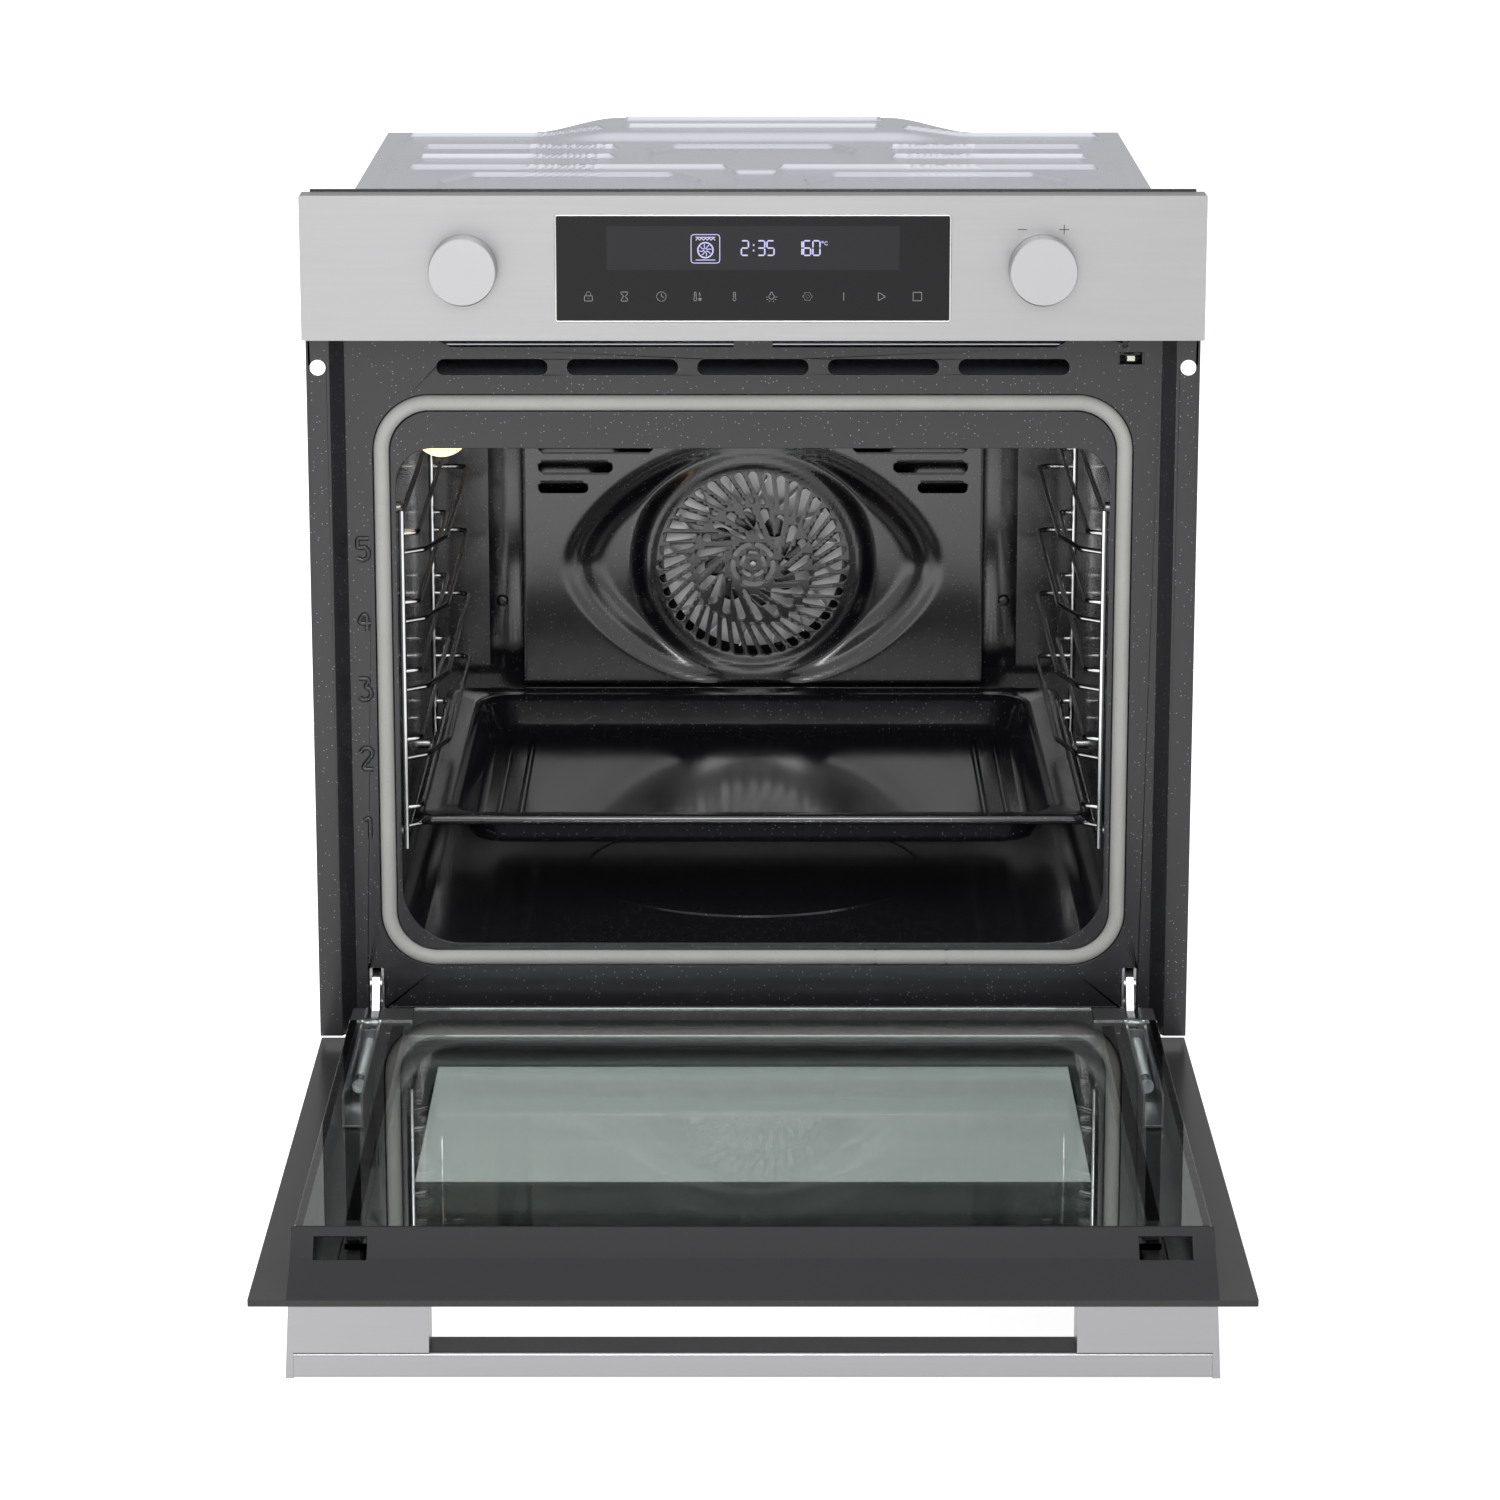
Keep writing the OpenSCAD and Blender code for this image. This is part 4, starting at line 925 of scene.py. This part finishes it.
class OVEN_OT_cavity(bpy.types.Operator):
    """Finish the enamelled cavity, the heating elements, the lamp and the fan"""

    bl_idname = "oven.cavity"
    bl_label = "Cavity"

    def execute(self, context):
        dress("cavity_liner", cavity_enamel(), 0.4 * MM)
        hot = finish_of("element sheath", satin_metal, (0.09, 0.085, 0.08), 0.45)
        for node in ("ring_element", "grill_element", "bottom_element"):
            dress(node, hot)
        dress("fan_wheel", finish_of("fan steel", satin_metal, (0.55, 0.55, 0.56), 0.4), 0.1 * MM)
        dress("lamp_lens", finish_of("lamp glass", glow, (1.0, 0.7, 0.38), 2.4))
        dress("lamp_bulb", finish_of("lamp glow", glow, (1.0, 0.72, 0.42), 60.0))
        return {"FINISHED"}


FAN = sum(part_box("fan_wheel"), Vector()) / 2
COVER_FLANGE = 28 * MM


class OVEN_OT_fan_cover(bpy.types.Operator):
    """Make the pressed fan cover with its grille"""

    bl_idname = "oven.fan_cover"
    bl_label = "Fan cover"

    def execute(self, context):
        low, high = FAN_COVER
        half_x = high.x - COVER_FLANGE
        depth = high.y - low.y - 2 * MM

        def relief(u, v):
            x = (2 * u - 1) * half_x
            z = low.z + v * (high.z - low.z)
            return Vector((x, low.y + 0.2 * MM + self.hollow(x, z - FAN.z), z))

        bm = bmesh.new()
        height_grid(bm, 132, 100, relief)
        rim = [e for e in bm.edges if e.is_boundary]
        made = bmesh.ops.extrude_edge_only(bm, edges=rim)["geom"]
        skirt = [v for v in made if isinstance(v, bmesh.types.BMVert)]
        for vert in skirt:
            vert.co.y = low.y + depth
        bmesh.ops.recalc_face_normals(bm, faces=bm.faces)
        cover = place("fan_cover_press", bm, cavity_enamel(), "chassis", angle=45)
        cover.modifiers.clear()
        if cover.data.polygons[0].normal.y > 0:
            cover.data.flip_normals()
        wall = cover.modifiers.new("sheet", "SOLIDIFY")
        wall.thickness = 1.0 * MM
        wall.offset = -1.0
        evaluated(cover)
        carve(cover, self.openings(low.y, half_x))
        bevel = cover.modifiers.new("soft edges", "BEVEL")
        bevel.width = 0.45 * MM
        bevel.segments = 2
        bevel.limit_method = "ANGLE"
        bevel.angle_limit = math.radians(50)
        for face in cover.data.polygons:
            face.use_smooth = True
        edge_split(cover, 50)
        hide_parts("fan_cover")
        bm = bmesh.new()
        for side in (-1, 1):
            inner, outer = sorted((side * (half_x - 1 * MM), side * high.x))
            box(bm, (inner, high.y - 1.6 * MM, low.z + 6 * MM),
                (outer, high.y - 0.4 * MM, high.z - 6 * MM), 0.4 * MM)
            for z in (low.z + 60 * MM, high.z - 70 * MM):
                turned(bm, [(0, 0), (4.6 * MM, 0), (4.6 * MM, 1 * MM), (3.4 * MM, 2.6 * MM),
                            (1.6 * MM, 3 * MM), (1.5 * MM, 1.8 * MM), (0, 1.8 * MM)],
                       (side * (half_x + 18 * MM), high.y - 1.6 * MM, z), (0, -1, 0), (1, 0, 0), 16)
        place("fan_cover_flanges", bm, cavity_enamel(), "chassis", angle=40)
        return {"FINISHED"}

    @staticmethod
    def hollow(x, z):
        """How far the press sinks in at a point measured from the fan's middle."""
        radius = math.hypot(x, z)
        bend, reach = 167 * MM, 89 * MM
        height = math.hypot(z, 22 * MM) - 7 * MM
        inside = bend - math.hypot(x, height + bend - reach)
        eye = 8.5 * MM * smooth_step(-4 * MM, 20 * MM, inside)
        dish = 1 - smooth_step(78 * MM, 96 * MM, radius)
        groove = 1.6 * MM * math.exp(-((radius - 79 * MM) / (3 * MM)) ** 2)
        fold = 1.3 * MM * math.exp(-((inside + 1 * MM) / (3 * MM)) ** 2)
        return eye * (1 - dish) + groove * dish + fold * (1 - dish)

    @staticmethod
    def openings(y, half_x):
        """Cutters of the grille's slots and of the short slots in the upper corners."""
        bm = bmesh.new()
        y0, y1 = y - 5 * MM, y + 14 * MM

        def spoke(angle, lean, r_in, r_out, half_in, half_out):
            a = (FAN.x + r_in * math.cos(angle), FAN.z + r_in * math.sin(angle))
            b = (FAN.x + r_out * math.cos(angle + lean), FAN.z + r_out * math.sin(angle + lean))
            prism(bm, capsule(a, b, half_in, half_out), y0, y1)

        for i in range(40):
            spoke(math.tau * i / 40, 0.16, 49 * MM, 69.5 * MM, 1.5 * MM, 3.3 * MM)
        for i in range(20):
            inner = 25.5 * MM if i % 2 else 22 * MM
            spoke(math.tau * i / 20, 0.42, inner, 41.5 * MM, 1.3 * MM, 2.9 * MM)
        middle = (FAN.x, FAN.z)
        for i in range(5):
            start = math.tau * i / 5 + 0.3
            prism(bm, arc_slot(middle, 15.5 * MM, 1.9 * MM, start + 0.2, 0.86), y0, y1)
            prism(bm, arc_slot(middle, 8.8 * MM, 1.5 * MM, start + 0.9, 0.66), y0, y1)
        prism(bm, circle_line(FAN.x, FAN.z, 2.6 * MM, 30, 300, 5), y0, y1)
        for side in (-1, 1):
            for i, length in enumerate((88, 57, 38)):
                z = FAN.z + (92 - 16 * i) * MM
                outer = side * (half_x - 16 * MM)
                inner = outer - side * (length - 8) * MM
                ends = ((inner, z), (outer, z))
                prism(bm, capsule(*ends, 4.2 * MM, 4.2 * MM), y0, y1)
        return bm


class OVEN_OT_racks(bpy.types.Operator):
    """Make the bent wire racks"""

    bl_idname = "oven.racks"
    bl_label = "Racks"

    def execute(self, context):
        thick = context.scene.oven_sizes.wire
        thin = 0.85 * thick
        for side, node in ((-1, "rack_left"), (1, "rack_right")):
            low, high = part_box(node)
            edge = (low.x if side < 0 else high.x) - side * thick
            y0, y1 = low.y + thick, high.y - thick
            bm = bmesh.new()
            for y in (y0, y1):
                path = [(edge, y, low.z), (edge, y, high.z)]
                sweep(bm, stepped([Vector(p) for p in path], 30 * MM), thick, 14)
            for z in (low.z + 4 * MM, high.z - 4 * MM):
                path = [(edge, y0, z), (edge, y1, z)]
                sweep(bm, stepped([Vector(p) for p in path], 30 * MM), thin, 12)
            level = low.z + 16 * MM
            for i in range(5):
                z = level + i * LEVEL_PITCH
                rail = edge - side * 27 * MM
                lower = [(edge, y0, z), (edge - side * 15 * MM, y0 + 12 * MM, z),
                         (rail, y0 + 52 * MM, z), (rail, y1, z), (edge, y1, z)]
                upper_x = edge - side * 11 * MM
                z += 13.4 * MM
                upper = [(edge, y0, z), (upper_x, y0 + 5 * MM, z), (upper_x, y1, z), (edge, y1, z)]
                for points in (lower, upper):
                    sweep(bm, rounded(points, 9 * MM, steps=6), thin, 12)
            rack = place(f"{node}_wires", bm, bright_wire(), "chassis", angle=60)
            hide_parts(node)
        return {"FINISHED"}


LEVEL_PITCH = 48.6 * MM
GASKET_BEND = 33 * MM


class OVEN_OT_gasket(bpy.types.Operator):
    """Make the braided door gasket"""

    bl_idname = "oven.gasket"
    bl_label = "Gasket"

    def execute(self, context):
        radius = (GASKET[1].y - GASKET[0].y) / 2
        y = (GASKET[0].y + GASKET[1].y) / 2
        x = GASKET[1].x - radius
        low, high = GASKET[0].z + radius, GASKET[1].z - radius
        corners = [(-x, y, low), (x, y, low), (x, y, high), (-x, y, high)]
        rib = context.scene.oven_sizes.rib
        path = stepped(rounded(corners, GASKET_BEND, True, 24), rib / 2, True)
        bm = bmesh.new()
        rings = sweep(bm, path, radius * 0.965, 16, True)
        bm.normal_update()
        joints = (x * 0.337, x * 0.533)
        for i, ring in enumerate(rings):
            pinch = 0.0
            if path[i].z < low + MM:
                pinch = max(math.exp(-((path[i].x - at) / (0.9 * MM)) ** 2) for at in joints)
            for j, vert in enumerate(ring):
                strand = 1 if (i + j // 2) % 2 else -1
                vert.co += vert.normal * radius * (0.035 * strand - 0.12 * pinch)
        gasket = place("gasket_braid", bm, finish_of("glass fibre", glass_fibre, (0.30, 0.30, 0.29)),
                       "chassis", angle=80)
        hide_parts("door_gasket")
        return {"FINISHED"}


class OVEN_OT_tray(bpy.types.Operator):
    """Make the enamelled baking tray with sloping walls and a rolled rim"""

    bl_idname = "oven.tray"
    bl_label = "Tray"

    def execute(self, context):
        low, high = TRAY
        middle = (0, (low.y + high.y) / 2)
        half_x, half_y = high.x, (high.y - low.y) / 2
        top = high.z
        steps = (
            (2.2, 2.2, 9, -6.0), (0.6, 0.6, 11, -5.0), (0, 0, 12, -3.2), (0.6, 0.6, 12, -1.4),
            (2.6, 2.0, 12, -0.5), (6, 3.2, 14, -0.8), (10, 5, 16, -2.2), (22, 15, 24, -2.4),
            (25.5, 18.4, 26, -3.6), (27.5, 20.4, 26, -6.4), (34.5, 27, 24, -22), (37, 29.5, 22, -26),
            (42, 34.5, 20, -28.3), (70, 62, 14, -28.8))
        bm = bmesh.new()
        rings = [rounded_ring(half_x - dx * MM, half_y - dy * MM, r * MM, middle, top + dz * MM)
                 for dx, dy, r, dz in steps]
        loft(bm, rings)
        for side in (-1, 1):
            for inset in (52, 68):
                x = side * (half_x - inset * MM)
                line = [Vector((x, middle[1] + t * (half_y - 62 * MM), top - 28.6 * MM))
                        for t in (-1, 1)]
                sweep(bm, stepped(line, 20 * MM), 1.9 * MM, 10)
        glossy = finish_of("tray enamel", enamel, (0.007, 0.007, 0.009), 0.18, 0.9)
        tray = place("tray_pan", bm, glossy, "baking_tray", angle=50)
        wall = tray.modifiers.new("sheet", "SOLIDIFY")
        wall.thickness = 1.0 * MM
        wall.offset = 1.0 if tray.data.polygons[0].normal.z < 0 else -1.0
        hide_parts("tray")
        return {"FINISHED"}


class OVEN_OT_door(bpy.types.Operator):
    """Finish the door, its glass, its handle and its hinges"""

    bl_idname = "oven.door"
    bl_label = "Door"

    def execute(self, context):
        panes = {
            "outer": finish_of("printed glass", printed_glass),
            "middle": finish_of("middle pane", clear_glass, (0.93, 0.97, 0.955)),
            "inner": finish_of("inner pane", clear_glass, (0.9, 0.95, 0.935))}
        for pane, glass in panes.items():
            dress(f"door_{pane}_glass", glass, angle=10)
        charcoal = finish_of("charcoal plastic", plastic, (0.014, 0.014, 0.0155), 0.55, 0.25, 0.2)
        dress("door_top_cover", charcoal, 0.4 * MM)
        for node in ("door_rail_left", "door_rail_right", "door_bottom_profile"):
            dress(node, frame_enamel(), 0.2 * MM)
        dress("door_corner_clips", black_plastic(), 0.5 * MM)
        dress("door_seals", finish_of("seal rubber", plastic, (0.012, 0.012, 0.012), 0.8))
        handle = finish_of("brushed aluminium", brushed, (0.275, 0.275, 0.285), 0.36)
        dress("handle_bar", handle)
        dress("handle_brackets", handle, 0.5 * MM)
        for node in ("handle_screws", "hinge_cases", "hinge_pins", "hinge_rods", "hinge_springs"):
            dress(node, zinc(), 0.1 * MM)
        for node in ("hinge_catch_left", "hinge_catch_right"):
            dress(node, bright_wire(), 0.3 * MM)
        return {"FINISHED"}


def printed_glass(name):
    """Outer pane: clear in its window, dark print round it."""
    g = Graph(name)
    x, y, _ = g.axes()
    near, far = PANEL_Y - 41 * MM, PANEL_Y - 270 * MM
    inside = (abs(x) < 212 * MM) * (abs(y - (near + far) / 2) < (near - far) / 2)
    pane = g.shade(Base_Color=(0.7, 0.735, 0.72), Roughness=0.02, Transmission_Weight=1.0, IOR=1.5)
    print_ = g.shade(
        Base_Color=g.blend(g.noise(700, 2.0), (0.012, 0.012, 0.0125), (0.02, 0.02, 0.0205)),
        Roughness=0.25, Specular_IOR_Level=0.3)
    return g.finish(g.add("ShaderNodeMixShader", None, {0: inside, 1: print_, 2: pane})[0])


class OVEN_OT_stage(bpy.types.Operator):
    """Make the floor, the lights and the camera"""

    bl_idname = "oven.stage"
    bl_label = "Stage"

    def execute(self, context):
        scene = context.scene
        low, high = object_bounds()
        bm = bmesh.new()
        bmesh.ops.create_grid(bm, x_segments=1, y_segments=1, size=8.0)
        bmesh.ops.translate(bm, vec=(0, 0, low.z - 2 * MM), verts=bm.verts)
        mesh = bpy.data.meshes.new("floor")
        bm.to_mesh(mesh)
        bm.free()
        floor = bpy.data.objects.new("floor", mesh)
        # Painted light: the floor glows as a broad lamp would, brightest on the left and fading to
        # about half on the right, so that the oven's left side and its reflections come out brighter
        # and its shadows stay white; the floor's own paint is mid grey.
        g = Graph("glowing floor")
        glow_fade_across = g.add("ShaderNodeMapRange", None,
                       {"Value": g.axes()[0], "From Min": -0.7, "From Max": 0.7})[0]
        floor_glow_finish = g.finish(g.shade(
            Base_Color=g.blend(g.noise(2.0, 2.0), (0.48, 0.48, 0.48), (0.5, 0.5, 0.5)),
            Emission_Color=g.blend(glow_fade_across, (1.0, 1.0, 1.0), (0.55, 0.55, 0.55)),
            Emission_Strength=1.3, Roughness=0.8))
        mesh.materials.append(floor_glow_finish)
        scene.collection.objects.link(floor)
        floor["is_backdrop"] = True
        world = bpy.data.worlds.new("studio")
        world.use_nodes = True
        sky(world.node_tree)
        scene.world = world
        add_light("key", (-1.6, -2.6, 2.6), (0, 0, 0.3), size=2.2, power=26)
        add_light("fill", (2.2, -2.4, 1.6), (0, 0, 0.3), size=1.8, power=9)
        add_light("cavity", (0.0, -2.6, 1.5), (0, 0.1, 0.25), size=0.9, power=26)
        scene.view_settings.view_transform = "Standard"
        camera = bpy.data.cameras.new("camera")
        camera.sensor_width = 36
        camera.lens = CAMERA["lens"]
        camera.shift_x = CAMERA["shift"][0]
        camera.shift_y = CAMERA["shift"][1]
        camera.clip_start, camera.clip_end = 0.05, 60
        holder = bpy.data.objects.new("camera", camera)
        holder.location = CAMERA["place"]
        holder.rotation_euler = (math.radians(90 - CAMERA["tilt"]), 0, 0)
        scene.collection.objects.link(holder)
        scene.camera = holder
        return {"FINISHED"}


def sky(tree):
    """White behind the object; for its reflections, brightest overhead and dimmest behind."""
    tree.nodes.clear()
    new, link = tree.nodes.new, tree.links.new
    split = new("ShaderNodeSeparateXYZ")
    link(new("ShaderNodeTexCoord").outputs["Generated"], split.inputs[0])
    both = new("ShaderNodeMath")
    ramps = (("Y", -1.0, 1.0, 1.0, 0.52), ("Z", 0.5, 0.95, 0.0, 0.8))
    for i, (axis, *ends) in enumerate(ramps):
        shade = new("ShaderNodeMapRange")
        link(split.outputs[axis], shade.inputs["Value"])
        for name, value in zip(("From Min", "From Max", "To Min", "To Max"), ends):
            shade.inputs[name].default_value = value
        link(shade.outputs[0], both.inputs[i])
    pick = new("ShaderNodeMix")
    link(new("ShaderNodeLightPath").outputs["Is Camera Ray"], pick.inputs["Factor"])
    link(both.outputs[0], pick.inputs["A"])
    pick.inputs["B"].default_value = 1.0
    back = new("ShaderNodeBackground")
    link(pick.outputs[0], back.inputs["Strength"])
    link(back.outputs[0], new("ShaderNodeOutputWorld").inputs["Surface"])
    back.inputs["Color"].default_value = (1, 1, 1, 1)


CAMERA = {"lens": 113.38, "shift": (-0.002, -0.08), "place": (0.0, -3.355, 1.0193), "tilt": 13.207}


def add_light(name, place_at, target, size, power):
    """A large square area light aimed at a point."""
    light = bpy.data.lights.new(name, "AREA")
    light.size = size
    light.energy = power
    obj = bpy.data.objects.new(name, light)
    obj.location = place_at
    aim = Vector(target) - Vector(place_at)
    obj.rotation_euler = aim.to_track_quat("-Z", "Y").to_euler()
    bpy.context.scene.collection.objects.link(obj)


class OVEN_PT_panel(bpy.types.Panel):
    """Lists the oven's pieces"""

    bl_label = "Wall Oven"
    bl_idname = "OVEN_PT_panel"
    bl_space_type = "VIEW_3D"
    bl_region_type = "UI"
    bl_category = "Wall Oven"

    def draw(self, context):
        layout = self.layout
        for group in (context.scene.oven_sizes, context.scene.oven_colours):
            for name in group.__annotations__:
                layout.prop(group, name)
        for step in STEPS:
            layout.operator(step.bl_idname)


STEPS = (
    OVEN_OT_case, OVEN_OT_top_cover, OVEN_OT_front, OVEN_OT_marks, OVEN_OT_levels, OVEN_OT_cavity,
    OVEN_OT_fan_cover, OVEN_OT_racks, OVEN_OT_gasket, OVEN_OT_tray, OVEN_OT_door, OVEN_OT_stage)
CLASSES = (OvenSizes, OvenColours, *STEPS, OVEN_PT_panel)


def register():
    for cls in CLASSES:
        bpy.utils.register_class(cls)
    bpy.types.Scene.oven_sizes = bpy.props.PointerProperty(type=OvenSizes)
    bpy.types.Scene.oven_colours = bpy.props.PointerProperty(type=OvenColours)


def unregister():
    del bpy.types.Scene.oven_colours
    del bpy.types.Scene.oven_sizes
    for cls in reversed(CLASSES):
        bpy.utils.unregister_class(cls)


def main():
    register()
    for step in STEPS:
        group, name = step.bl_idname.split(".")
        getattr(getattr(bpy.ops, group), name)()


if __name__ == "__main__":
    main()
